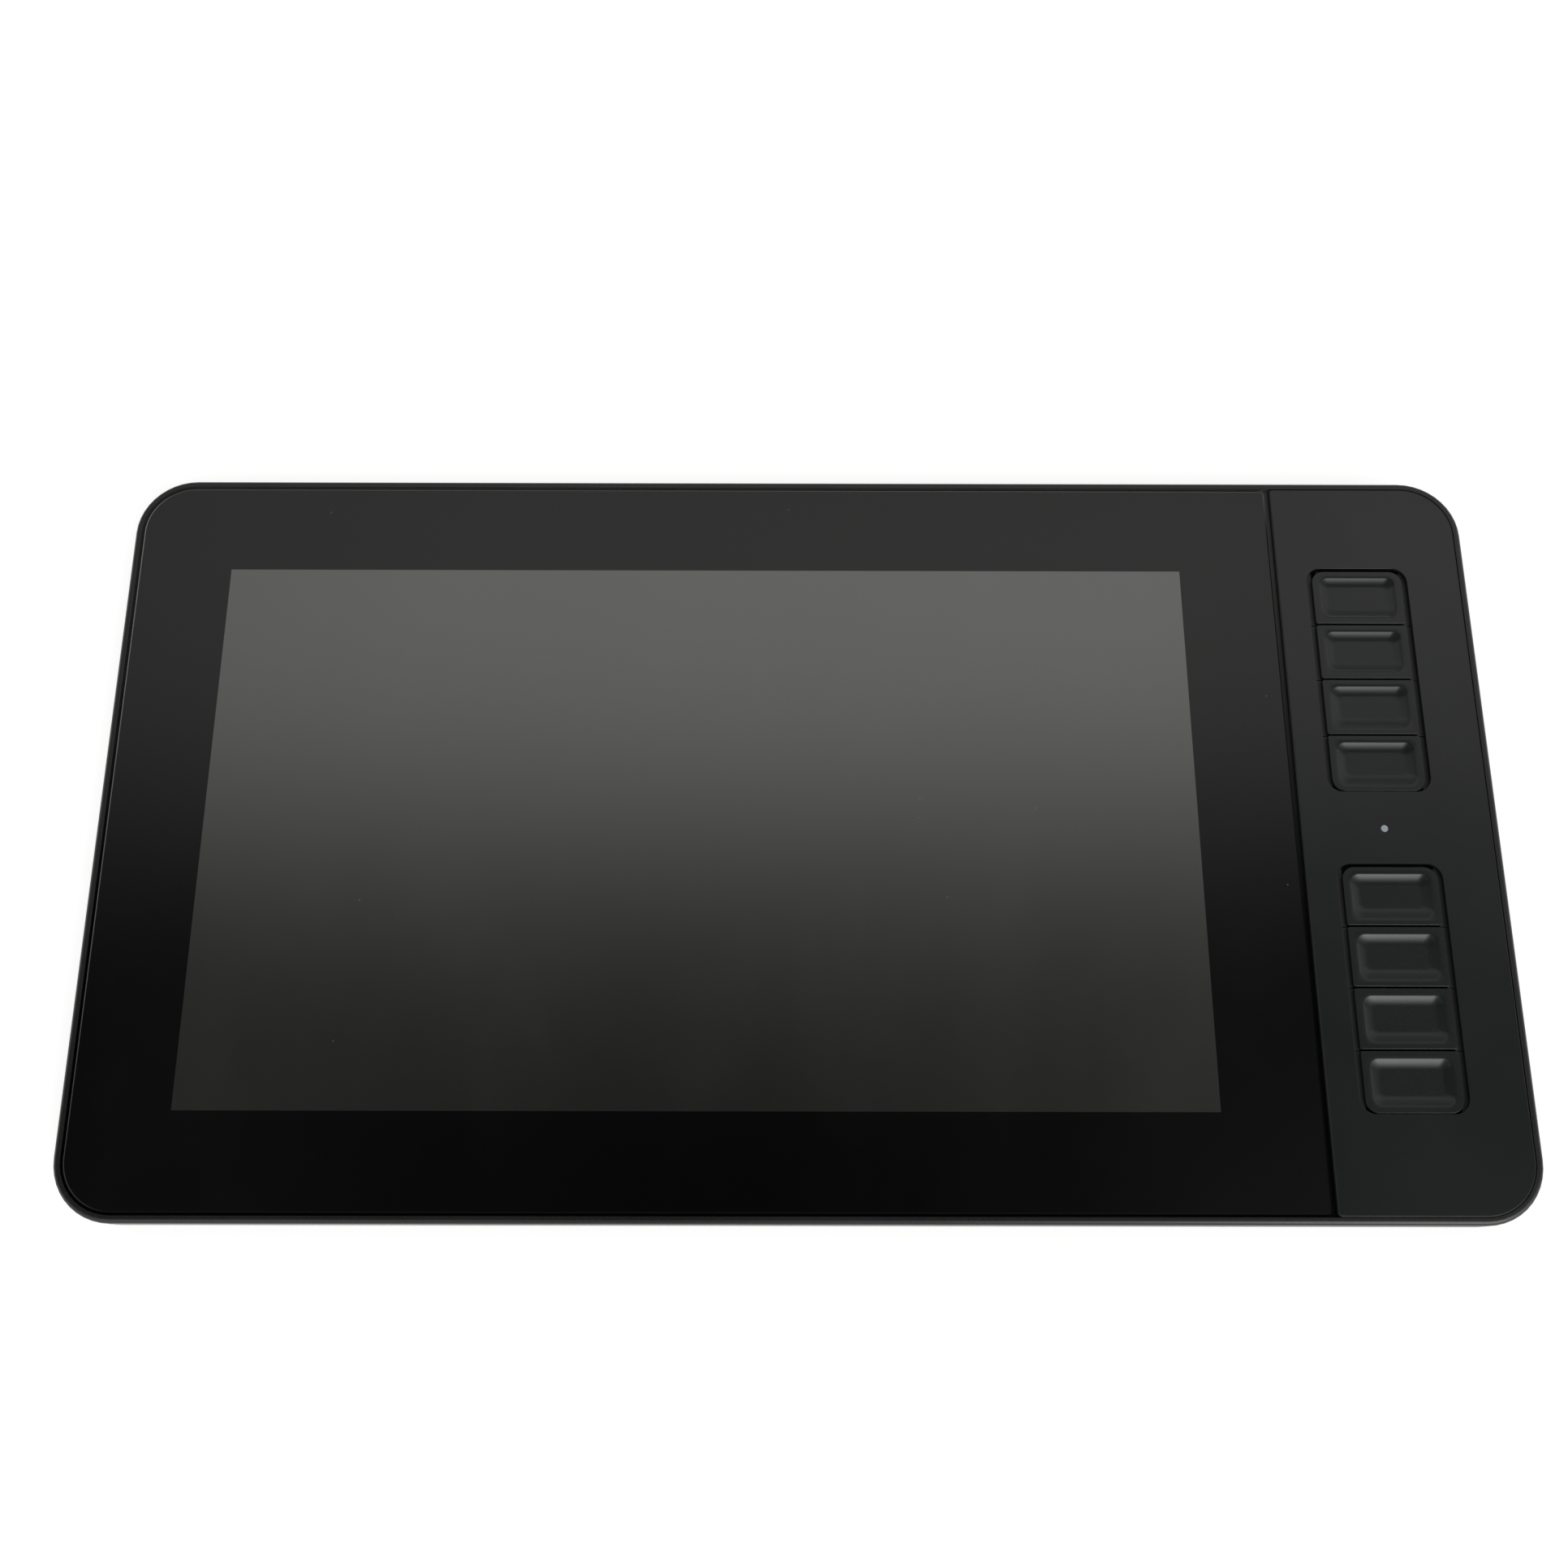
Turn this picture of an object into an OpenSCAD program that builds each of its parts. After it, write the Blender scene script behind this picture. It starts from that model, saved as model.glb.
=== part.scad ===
// Graphics tablet with a built-in screen: a flat case, one glass plate over the screen
// and, at its right, a moulded key panel with two groups of dished keys.
// The origin is the middle of the footprint, on the surface that the feet stand on.
// +X runs to the right, +Y away from the user and +Z up. All sizes are in millimetres.

/* [Screen and glass] */
// Width of the picture area
screen_w = 256.32; // [230:0.01:290]
// Depth of the picture area
screen_d = 144.18; // [136:0.01:165]
// Dark border from the picture area to the left and right edges of the glass
glass_border = 24.9; // [22:0.1:32]
// Dark border from the picture area to the far and near edges of the glass
glass_border_y = 24.2; // [22:0.1:32]
// Thickness of the glass
glass_t = 1.1; // [0.8:0.1:2]
// Chamfer along the outer edge of the glass and of the key panel
glass_edge = 0.35; // [0.1:0.05:0.5]
// Groove between the glass or key panel and the rim
glass_gap = 0.65; // [0.15:0.05:1]
// Groove between the glass and the key panel
seam_w = 1.4; // [0.8:0.1:3]
// Corner radius of the glass and the key panel beside the seam
seam_corner_r = 1; // [0.6:0.1:3]
// Thickness of the adhesive frame under the glass
tape_t = 0.3; // [0.15:0.05:0.5]
// Width of the adhesive frame
tape_w = 9; // [4:0.5:12]

/* [Case] */
// Corner radius of the case in plan
case_corner_r = 15.5; // [10:0.5:20]
// Thickness of the rim and the side walls
wall_t = 1.9; // [1.3:0.1:2.2]
// Thickness of the rear cover's floor
floor_t = 1.5; // [1.4:0.1:2.5]
// Rounding of the rim's outer edge
rim_edge_r = 1.2; // [0.4:0.1:1.5]
// Rounding of the rear cover's outer edge
rear_edge_r = 3; // [1:0.25:3.25]
// Height of the front frame's side, from its top to the parting line
rim_h = 3.4; // [3:0.1:3.8]
// Thickness of the shelf that carries the glass and the key panel
shelf_t = 1.3; // [1:0.1:1.5]
// Width of the shelf under the key panel's long sides
shelf_seat = 4; // [3:0.1:5]
// Width of the shelf under the key panel's far and near ends
shelf_seat_y = 8; // [6:0.5:12]
// Shadow gap at the parting line
shadow_gap = 0.2; // [0.1:0.05:0.4]
// Thickness of the lip that drops inside the rear cover
lip_t = 0.8; // [0.6:0.1:1.2]
// Height of the lip
lip_h = 1; // [0.5:0.1:1.2]
// Thickness of the rear cover's support ribs
rib_t = 1.2; // [0.8:0.1:2]
// Spacing that the support ribs come close to
rib_pitch = 44; // [25:1:70]

/* [Feet] */
// Length of a rubber foot
foot_l = 34; // [16:1:50]
// Width of a rubber foot
foot_w = 9; // [6:0.5:12]
// Height of the feet below the case
foot_proud = 1.2; // [0.6:0.1:2.5]
// Depth of the recess that a foot sits in
foot_seat = 0.7; // [0.4:0.1:0.9]
// Rounding of a foot's lower edge
foot_edge_r = 0.4; // [0.2:0.1:0.5]
// Distance from the side of the case to the middle of a foot
foot_inset_x = 36; // [30:1:60]
// Distance from the far or near edge of the case to the middle of a foot
foot_inset_y = 18; // [17:1:40]

/* [Keys] */
// Width of the key panel
key_panel_w = 48.68; // [46:0.01:60]
// Width of a key
key_w = 24.1; // [20:0.1:26]
// Depth of a key
key_d = 15.1; // [12:0.1:17]
// Gap between two keys of a group
key_gap = 0.55; // [0.3:0.05:1]
// Gap at both sides of a key
key_moat = 1.5; // [0.4:0.05:1.6]
// Gap at the far end of a key group
key_far_gap = 0.85; // [0.15:0.05:1.2]
// Gap at the near end of a key group
key_near_gap = 0.25; // [0.15:0.05:0.8]
// Distance between the windows of the two key groups
group_space = 19.3; // [10:0.1:26]
// Distance from the key panel's left edge to the middle of the keys
key_offset = 21.5; // [20:0.1:23]
// Corner radius of a key window
window_r = 4; // [2.5:0.1:6]
// Chamfer along the upper edge of a key window
window_edge = 0.1; // [0.05:0.05:0.5]
// Corner radius of a key at the end of its group
key_outer_r = 3.2; // [2.2:0.1:5]
// Corner radius of a key beside another key
key_corner_r = 0.5; // [0.3:0.1:1]
// Width of the flat ledge round a key's dish
key_ledge = 1.8; // [0.5:0.1:3]
// Depth of the dish below the ledge
key_dish = 0.8; // [0.4:0.05:1.6]
// Width of the dish's sloping border
key_slope_w = 2.8; // [2:0.1:4.5]
// Corner radius of the dish at the ledge
key_dish_r = 3; // [2:0.1:5]
// Corner radius of the dish's flat floor
key_floor_r = 1.2; // [0.8:0.1:2.8]
// How fast the slope flattens towards the floor
key_slope_power = 2; // [1.6:0.1:3]
// Depth of the key's ledge below the panel's upper face
key_sunk = 0.2; // [0:0.05:0.6]
// Wall of the hollow key cap
key_wall = 1.2; // [0.9:0.1:1.6]
// Thickness of the key cap's roof under the floor of the dish
key_roof_t = 0.6; // [0.5:0.1:1]
// Thickness of the flanges that hold a key or a button behind its wall
flange_t = 0.8; // [0.6:0.1:1.2]
// Overlap of the flanges under the panel
flange_lap = 1; // [0.6:0.1:1.5]
// Setback of a flange from the ends of its key
flange_inset = 1; // [0.5:0.1:3]
// Length of the post below a key's flanges
key_post = 0.5; // [0.3:0.1:1]
// Radius of the post under a key
key_post_r = 1.8; // [1.2:0.1:2.5]
// Travel of a key
key_travel = 0.4; // [0.2:0.05:0.6]
// Diameter of the indicator window
indicator_d = 1.8; // [1.2:0.1:3]
// Diameter of the indicator window's collar under the panel
indicator_collar_d = 4; // [3.5:0.1:6]

/* [Key switches] */
// Side of a switch body
switch_w = 6; // [5:0.1:8]
// Height of a switch body
switch_h = 1.2; // [1.1:0.1:2]
// Radius of a switch stem
stem_r = 1.6; // [1:0.1:2]
// Length of stem held in the switch body at rest
stem_in = 0.35; // [0.25:0.05:0.4]

/* [Screen module] */
// Border of the screen module outside the picture area
lcd_border = 5.9; // [5:0.1:7]
// Thickness of the foam frame between screen and glass
gasket_t = 0.4; // [0.2:0.05:0.5]
// Bare margin between the picture area and the foam frame
gasket_margin = 1.5; // [0.5:0.1:2.5]
// Thickness of the screen cell
cell_t = 1.2; // [0.9:0.1:1.6]
// Thickness of the diffuser sheets
sheets_t = 0.5; // [0.3:0.05:0.8]
// Thickness of the light guide
guide_t = 1; // [0.8:0.1:1.4]
// Thickness of the reflector sheet
reflector_t = 0.2; // [0.1:0.05:0.3]
// Sheet thickness of the backlight tray
tray_t = 0.3; // [0.2:0.05:0.5]
// Width of the frame that the screen cell lies on
panel_frame_w = 2.6; // [1.8:0.1:3]
// Thickness of the light strip's board
led_board_t = 0.6; // [0.4:0.1:1]
// Depth of a lamp on the light strip
led_chip_d = 0.9; // [0.6:0.1:1.2]
// Width of a lamp on the light strip
led_chip_w = 3; // [2:0.1:5]
// Spacing that the lamps come close to
led_pitch = 10; // [6:0.5:20]
// Thickness of the pen sensor board
digitizer_t = 0.8; // [0.5:0.1:1.2]
// Part of the pen sensor board that stands out at the right of the screen module
digitizer_tail = 6; // [4:0.5:7]
// Thickness of the steel shield under the pen sensor
shield_t = 0.3; // [0.2:0.1:0.6]
// Length of the screen's driver board
driver_l = 226; // [180:1:230]
// Depth of the screen's driver board
driver_d = 8.5; // [6:0.5:9]

/* [Boards and ribbons] */
// Thickness of the main board and the driver board
board_t = 1; // [0.8:0.1:1.6]
// Distance from the key panel's left edge to the main board
board_inset_left = 3.6; // [2:0.1:3.8]
// Distance from the main board to the key panel's right edge
board_inset_right = 5.4; // [4:0.1:6]
// Depth of the main board's full-width part
board_d = 156; // [150:1:160]
// Width of the main board's far and near ends
board_end_w = 29; // [28:0.5:30]
// Distance from the main board's far end to the wall, and from its near end past the driver board
board_wall_gap = 1; // [0.5:0.1:2]
// Distance from a board screw to the main board's long edge
board_screw_inset = 3.2; // [2.5:0.1:3.5]
// Distance between the far and near board screws
board_screw_span = 120; // [90:1:130]
// Radius of the posts under the boards
post_r = 2.2; // [1.8:0.1:2.4]
// Depth of the pilot holes in the main board's posts
post_pilot = 3; // [2:0.1:3.5]
// Thickness of the button board
button_board_t = 0.8; // [0.6:0.1:1]
// Height of the button board above the floor
button_board_lift = 1.2; // [1:0.1:1.4]
// Depth of the button board
button_board_d = 14; // [12:0.5:15]
// Length of the button board past the middle of its outer buttons
button_board_end = 10; // [9:0.5:12]
// Distance from a button board's screw to the board's edges
button_screw_inset = 3.5; // [2.8:0.1:4]
// Thickness of a ribbon cable
ribbon_t = 0.2; // [0.1:0.05:0.3]
// Length of a ribbon's flat end on a board
ribbon_land = 5; // [3:0.5:5.5]
// Width of the screen's ribbon
lcd_ribbon_w = 6.5; // [4:0.5:7]
// Width of the pen sensor's ribbon
digitizer_ribbon_w = 18; // [8:1:40]
// Distance from the middle of the case back to the pen sensor's ribbon
digitizer_ribbon_y = 20; // [-20:1:40]
// Width of the button board's ribbon
button_ribbon_w = 5; // [3:0.5:6]

/* [Sockets] */
// Width of the USB socket's shell
usb_w = 8.9; // [8.5:0.1:10]
// Height of the USB socket's shell
usb_h = 3.2; // [3:0.1:3.6]
// Width of the video socket's shell
video_w = 11.2; // [10.5:0.1:12]
// Height of the video socket's shell
video_h = 3; // [2.8:0.1:3.2]
// Chamfer at the lower corners of the video socket
video_chamfer = 1.2; // [0.8:0.1:1.4]
// Sheet thickness of the socket shells
shell_t = 0.35; // [0.25:0.05:0.4]
// Length of the sockets
socket_l = 7.5; // [6:0.1:9]
// Thickness of the tongue inside a socket
tongue_t = 0.7; // [0.5:0.1:0.9]
// Distance from the USB socket's side to its tongue
tongue_side = 1.1; // [0.9:0.1:1.5]
// Thickness of a socket's back
socket_back_t = 1; // [0.6:0.1:1.5]
// Setback of a socket's tongue behind its mouth
tongue_setback = 0.8; // [0.5:0.1:2]
// Setback of the sockets behind the case's outer face
socket_recess = 0.5; // [0.3:0.1:1]
// Distance between the middles of the two sockets
socket_spacing = 14.5; // [13.5:0.5:15.5]
// Distance from the keys' middle back to the sockets' middle
socket_shift = 4; // [3:0.1:4.5]
// Gap round a socket in the wall
socket_gap = 0.25; // [0.15:0.05:0.35]
// Room below the USB socket
socket_clear = 0.4; // [0.35:0.05:1]

/* [Edge buttons] */
// Length of an edge button
button_w = 7; // [5:0.1:8]
// Height of an edge button
button_h = 2.2; // [1.8:0.1:2.4]
// Distance between two edge buttons
button_pitch = 12; // [11:0.5:13]
// Distance from the screen module's right edge back to the middle of the buttons
button_back = 30; // [28:1:60]
// Depth of a button's face behind the case's outer face
button_recess = 0.15; // [0.05:0.05:0.4]
// Gap round a button in the wall
button_gap = 0.2; // [0.1:0.05:0.25]
// Overlap of a button's flange behind the wall
button_lap = 0.8; // [0.5:0.1:1]
// Travel of an edge button
button_travel = 0.3; // [0.15:0.05:0.5]
// Length of the nub behind a button's flange
button_nub = 0.5; // [0.3:0.1:1]
// Width of an edge button's switch
side_switch_w = 4.6; // [4:0.1:6]
// Depth of an edge button's switch
side_switch_d = 3; // [2.5:0.1:4]
// Height of an edge button's switch
side_switch_h = 2.2; // [2:0.1:2.4]
// Length of an edge switch's stem held in the switch at rest
side_stem_in = 0.6; // [0.4:0.1:1]
// Radius of an edge switch's stem
side_stem_r = 0.7; // [0.5:0.05:0.9]

/* [Screws] */
// Radius of a screw's shank
screw_r = 0.95; // [0.7:0.05:1.2]
// Radius of a screw's head
head_r = 1.9; // [1.6:0.1:2.2]
// Height of a screw's head
head_h = 1.1; // [0.8:0.1:1.1]
// Depth of the seat of a case screw's head
head_seat = 1.3; // [1.2:0.1:1.4]
// Radius of a screw boss
boss_r = 3; // [2.8:0.1:3.3]
// Distance from the lip's lower edge down to where the bosses of the two shells meet
boss_drop = 1; // [0.6:0.1:1.5]
// Distance from the case's far and near edges to the case screws
screw_inset_y = 6.5; // [6:0.1:7]
// Distance from the case's left and right sides to the outer case screws
screw_inset_x = 11.5; // [10:0.5:14]
// Length of screw in the front frame
screw_grip = 2.4; // [1.5:0.1:3]

/* [Clearances] */
// Play of a piece in its seat
fit_gap = 0.15; // [0.1:0.05:0.25]
// Play of a switch stem in its bore
stem_gap = 0.05; // [0.03:0.01:0.1]
// Play of a key or button flange behind its wall
flange_gap = 0.05; // [0.03:0.01:0.2]
// Play of the lip inside the rear cover
lip_gap = 0.1; // [0.05:0.05:0.3]
// Gap round the screen module in the front frame
lcd_window_gap = 0.5; // [0.3:0.1:1]
// Room left below a pressed stem
stop_gap = 0.1; // [0.05:0.05:0.2]
// Play of a screw in a clearance hole
screw_gap = 0.2; // [0.1:0.05:0.3]
// Play of a screw in its pilot hole
pilot_gap = 0.05; // [0.03:0.01:0.1]
// Play round the head of a case screw
head_gap = 0.4; // [0.2:0.1:0.6]

/* [Hidden] */
$fn = 64;

// Overrun of a cut past the face that it opens, and depth by which joined solids overlap
over = 1;
bite = 0.3;
// Thickness of the thin slices that a tapered solid is stretched over
slice = 0.01;

// Counts of keys and buttons
keys_per_group = 4;
key_count = 2 * keys_per_group;
button_count = 4;

// Plan of the case, from the picture area outwards
glass_w = screen_w + 2 * glass_border;
glass_d = screen_d + 2 * glass_border_y;
case_w = wall_t + glass_gap + glass_w + seam_w + key_panel_w + glass_gap + wall_t;
case_d = glass_d + 2 * (glass_gap + wall_t);
glass_x0 = -case_w / 2 + wall_t + glass_gap;
glass_x1 = glass_x0 + glass_w;
screen_x = (glass_x0 + glass_x1) / 2;
panel_x0 = glass_x1 + seam_w;
panel_x1 = panel_x0 + key_panel_w;
plate_corner_r = case_corner_r - wall_t - glass_gap;
wall_y = case_d / 2 - wall_t;
keys_x = panel_x0 + key_offset;

// Heights in the key column, from the surface under the feet upwards
z_under = foot_proud;
z_floor = z_under + floor_t;
z_board = z_floor + socket_clear + usb_h;
z_board_top = z_board + board_t;
z_switch_top = z_board_top + switch_h;
z_stem_top = z_switch_top + key_travel + stop_gap;
z_flange = z_stem_top + key_post;
z_shelf = z_flange + flange_t + flange_gap;
panel_t = glass_t + tape_t;
z_top = z_shelf + panel_t;
z_shelf_low = z_shelf - shelf_t;
z_part = z_top - rim_h;
z_cover_top = z_part - shadow_gap;
z_key_edge = z_top - key_sunk;

// Heights of the screen module, from the glass downwards
z_glass = z_top - glass_t;
z_gasket = z_glass - gasket_t;
z_cell = z_gasket - cell_t;
z_sheets = z_cell - sheets_t;
z_guide = z_sheets - guide_t;
z_reflector = z_guide - reflector_t;
z_tray = z_reflector - tray_t;
z_digitizer = z_tray - digitizer_t;
z_shield = z_digitizer - shield_t;
z_driver = z_shelf_low - board_t;

// Plan of the screen module
lcd_w = screen_w + 2 * lcd_border;
lcd_d = screen_d + 2 * lcd_border;
lcd_x1 = screen_x + lcd_w / 2;
tray_inner_w = lcd_w - 2 * tray_t;
tray_inner_d = lcd_d - 2 * tray_t;
cell_w = tray_inner_w - 2 * fit_gap;
cell_d = tray_inner_d - 2 * fit_gap;
well_w = cell_w - 2 * panel_frame_w;
well_d = cell_d - 2 * panel_frame_w;
sheet_w = well_w - 2 * fit_gap;
sheet_d = well_d - 2 * fit_gap;
led_space = led_board_t + led_chip_d + fit_gap;

// Key groups and their windows in the key panel
key_pitch = key_d + key_gap;
group_d = keys_per_group * key_d + (keys_per_group - 1) * key_gap;
window_w = key_w + 2 * key_moat;
window_d = group_d + key_far_gap + key_near_gap;
window_shift = (key_far_gap - key_near_gap) / 2;
group_y = (group_space + window_d) / 2;
flange_reach = key_moat + flange_lap;

// Main board and its screws
board_x0 = panel_x0 + board_inset_left;
board_x1 = panel_x1 - board_inset_right;
board_far_y = wall_y - board_wall_gap;
driver_y = -lcd_d / 2 - lcd_window_gap - driver_d / 2;
board_near_y = driver_y - driver_d / 2 - board_wall_gap;
board_screw_points = [
    for (x = [board_x0 + board_screw_inset, board_x1 - board_screw_inset], s = [-1, 1])
        [x, s * board_screw_span / 2]
];

// Packages on the lower face of the main board: [x from the keys' middle, y, width, depth, height]
chip_list = [
    [0, 26, 14, 14, 1.4],
    [-1, 4, 9, 9, 1],
    [2, -16, 7, 7, 0.9],
    [-6, -34, 5, 5, 2],
    [6, -34, 5, 5, 2],
    [0, 50, 12, 8, 1.2],
    [-4, -56, 10, 4, 1.6],
    [4, 68, 6, 5, 1.8]
];

// Indicator under its window
indicator_led_size = [1.6, 0.8, 0.6];
z_indicator_led_top = z_board_top + indicator_led_size[2];

// Sockets, seen from the far edge
socket_y = case_d / 2 - socket_recess;
usb_x = keys_x - socket_shift - socket_spacing / 2;
video_x = keys_x - socket_shift + socket_spacing / 2;

// Edge buttons, from the wall inwards
z_button_board = z_floor + button_board_lift;
z_button_board_top = z_button_board + button_board_t;
z_button = z_button_board_top + side_switch_h / 2;
button_x = lcd_x1 - button_back;
button_flange_y = wall_y - flange_gap - flange_t;
side_stem_y = button_flange_y - button_nub;
side_switch_y = side_stem_y - button_travel - stop_gap;
button_board_l = (button_count - 1) * button_pitch + 2 * button_board_end;
button_board_y = side_switch_y - button_board_d / 2;
button_screw_points = [
    for (s = [-1, 1])
        [button_x + s * (button_board_l / 2 - button_screw_inset), side_switch_y - button_screw_inset]
];

// Case screws
z_boss = z_part - lip_h - boss_drop;
z_head = z_under + head_seat;
bar_x = (lcd_x1 + lcd_window_gap + panel_x0 + shelf_seat) / 2;
case_screw_points = [
    for (x = [-case_w / 2 + screw_inset_x, screen_x, bar_x, case_w / 2 - screw_inset_x], s = [-1, 1])
        [x, s * (case_d / 2 - screw_inset_y)]
];

// Colours
case_colour = [0.13, 0.13, 0.135];
panel_colour = [0.19, 0.195, 0.2];
key_colour = [0.2, 0.205, 0.21];
glass_colour = [0.05, 0.05, 0.05, 0.6];
screen_colour = [0.24, 0.245, 0.235];
rubber_colour = [0.08, 0.08, 0.08];
steel_colour = [0.7, 0.71, 0.72];
board_colour = [0.05, 0.3, 0.16];
ribbon_colour = [0.78, 0.6, 0.25];
white_colour = [0.93, 0.93, 0.92];
foam_colour = [0.15, 0.15, 0.15];
chip_colour = [0.07, 0.07, 0.08];

// Basic forms

// Rectangle with round corners, centred on the origin
module rounded_rect(w, d, r) {
    square([w - 2 * r, d], center = true);
    square([w, d - 2 * r], center = true);
    for (sx = [-1, 1], sy = [-1, 1])
        translate([sx * (w / 2 - r), sy * (d / 2 - r)]) circle(r);
}

// Rectangle from x0 to x1 with one radius for its left and one for its right corners
module plate_outline(x0, x1, d, left_r, right_r) {
    middle = (x0 + x1) / 2;
    translate([x0, -d / 2 + left_r]) square([middle - x0, d - 2 * left_r]);
    translate([middle, -d / 2 + right_r]) square([x1 - middle, d - 2 * right_r]);
    translate([x0 + left_r, -d / 2]) square([x1 - x0 - left_r - right_r, d]);
    for (s = [-1, 1]) {
        translate([x0 + left_r, s * (d / 2 - left_r)]) circle(left_r);
        translate([x1 - right_r, s * (d / 2 - right_r)]) circle(right_r);
    }
}

// Outline inside the case walls, set in by a further distance
module inner_outline(inset) {
    set_in = wall_t + inset;
    rounded_rect(case_w - 2 * set_in, case_d - 2 * set_in, case_corner_r - set_in);
}

// Upright plate with a 2-D outline in X and Z, from y0 towards +Y
module upright(y0, length) {
    translate([0, y0 + length, 0]) rotate([90, 0, 0]) linear_extrude(length) children();
}

// Waste outside a rounded edge whose tip is at the origin and whose body lies in -X and +Y
module edge_waste(r) {
    difference() {
        translate([-r, -r]) square([2 * r, 2 * r]);
        translate([-r, r]) circle(r);
    }
}

// Section of a slab from a corner's centre out to its radius r, with rounded lower and upper edges
module edge_section(r, z0, z1, low_r, high_r) {
    difference() {
        translate([0, z0]) square([r, z1 - z0]);
        if (low_r > 0) translate([r, z0]) edge_waste(low_r);
        if (high_r > 0) translate([r, z1]) mirror([0, 1]) edge_waste(high_r);
    }
}

// Slab with round corners whose sides and corners have the child's section
module slab(w, d, r, z0, z1) {
    run_x = w - 2 * r;
    run_y = d - 2 * r;
    translate([-run_x / 2, -run_y / 2, z0]) cube([run_x, run_y, z1 - z0]);
    for (turn = [0 : 3]) {
        reach = (turn % 2 == 0 ? run_x : run_y) / 2;
        side = turn % 2 == 0 ? run_y : run_x;
        rotate(90 * turn) translate([reach, side / 2, 0]) {
            rotate([90, 0, 0]) linear_extrude(side) children();
            rotate_extrude(angle = 90) children();
        }
    }
}

// Flat plate with a chamfered upper edge
module chamfered_plate(x0, x1, d, left_r, right_r, z0, z1, edge) {
    hull() {
        translate([0, 0, z0]) linear_extrude(z1 - z0 - edge) plate_outline(x0, x1, d, left_r, right_r);
        translate([0, 0, z1 - slice]) linear_extrude(slice)
            plate_outline(x0 + edge, x1 - edge, d - 2 * edge, left_r - edge, right_r - edge);
    }
}

// Block given by its middle in plan, its size and its lower face
module block(x, y, z, size) {
    translate([x - size[0] / 2, y - size[1] / 2, z]) cube(size);
}

// Round outline with flat upper and lower sides, for sockets and buttons
module stadium(w, h) {
    square([w - h, h], center = true);
    for (s = [-1, 1]) translate([s * (w - h) / 2, 0]) circle(h / 2);
}

// Ribbon cable along X that runs flat, slopes and runs flat again; z0 and z1 are its lower faces
module ribbon(x0, z0, x1, z1, y, w) {
    lower = [[x0, z0], [x0 + ribbon_land, z0], [x1 - ribbon_land, z1], [x1, z1]];
    outline = concat(lower, [for (i = [3 : -1 : 0]) lower[i] + [0, ribbon_t]]);
    color(ribbon_colour) upright(y - w / 2, w) polygon(outline);
}

// Points of a rectangle with round corners, one radius for its near and one for its far corners
function outline_points(w, d, near_r, far_r, steps) = [
    for (corner = [0 : 3])
        let (
            sx = corner < 2 ? 1 : -1,
            sy = corner == 1 || corner == 2 ? 1 : -1,
            r = sy > 0 ? far_r : near_r
        )
        for (k = [0 : steps])
            let (a = 90 * (corner - 1 + k / steps))
            [sx * (w / 2 - r) + r * cos(a), sy * (d / 2 - r) + r * sin(a)]
];

// Closed solid through level rings with equal numbers of points, from its foot up and over to its middle
module loft(rings) {
    n = len(rings[0]);
    m = len(rings);
    sides = [
        for (j = [0 : m - 2], i = [0 : n - 1])
            let (a = j * n + i, b = j * n + (i + 1) % n)
            each [[a, a + n, b + n], [a, b + n, b]]
    ];
    bottom = [for (i = [0 : n - 1]) i];
    top = [for (i = [n - 1 : -1 : 0]) (m - 1) * n + i];
    polyhedron(points = [for (ring = rings) each ring], faces = concat([bottom], sides, [top]));
}

// Case

module front_frame() {
    color(case_colour) difference() {
        union() {
            difference() {
                union() {
                    slab(case_w, case_d, case_corner_r, z_part, z_top)
                        edge_section(case_corner_r, z_part, z_top, 0, rim_edge_r);
                    translate([0, 0, z_part - lip_h]) linear_extrude(lip_h + bite) inner_outline(lip_gap);
                }
                translate([0, 0, z_shelf]) linear_extrude(panel_t + over) inner_outline(0);
                translate([0, 0, z_part - lip_h - over])
                    linear_extrude(z_shelf_low - z_part + lip_h + over) inner_outline(lip_gap + lip_t);
            }
            for (p = case_screw_points)
                translate([p[0], p[1], z_boss]) cylinder(r = boss_r, h = z_shelf_low - z_boss + bite);
        }
        block(screen_x, 0, z_shelf_low - over,
              [lcd_w + 2 * lcd_window_gap, lcd_d + 2 * lcd_window_gap, shelf_t + 2 * over]);
        translate([(panel_x0 + panel_x1) / 2, 0, z_shelf_low - over]) linear_extrude(shelf_t + 2 * over)
            rounded_rect(key_panel_w - 2 * shelf_seat, glass_d - 2 * shelf_seat_y, window_r);
        for (p = case_screw_points)
            translate([p[0], p[1], z_boss - over])
                cylinder(r = screw_r + pilot_gap, h = screw_grip + stop_gap + over);
        lip_relief(button_x, button_board_l);
        lip_relief(keys_x - socket_shift, socket_spacing + video_w + 2 * wall_t);
    }
}

// Gap in the lip of the far side behind the buttons or the sockets
module lip_relief(x, w) {
    translate([x - w / 2, wall_y - lip_gap - lip_t - over, z_part - lip_h - over])
        cube([w, lip_t + lip_gap + 2 * over, lip_h + over]);
}

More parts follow.
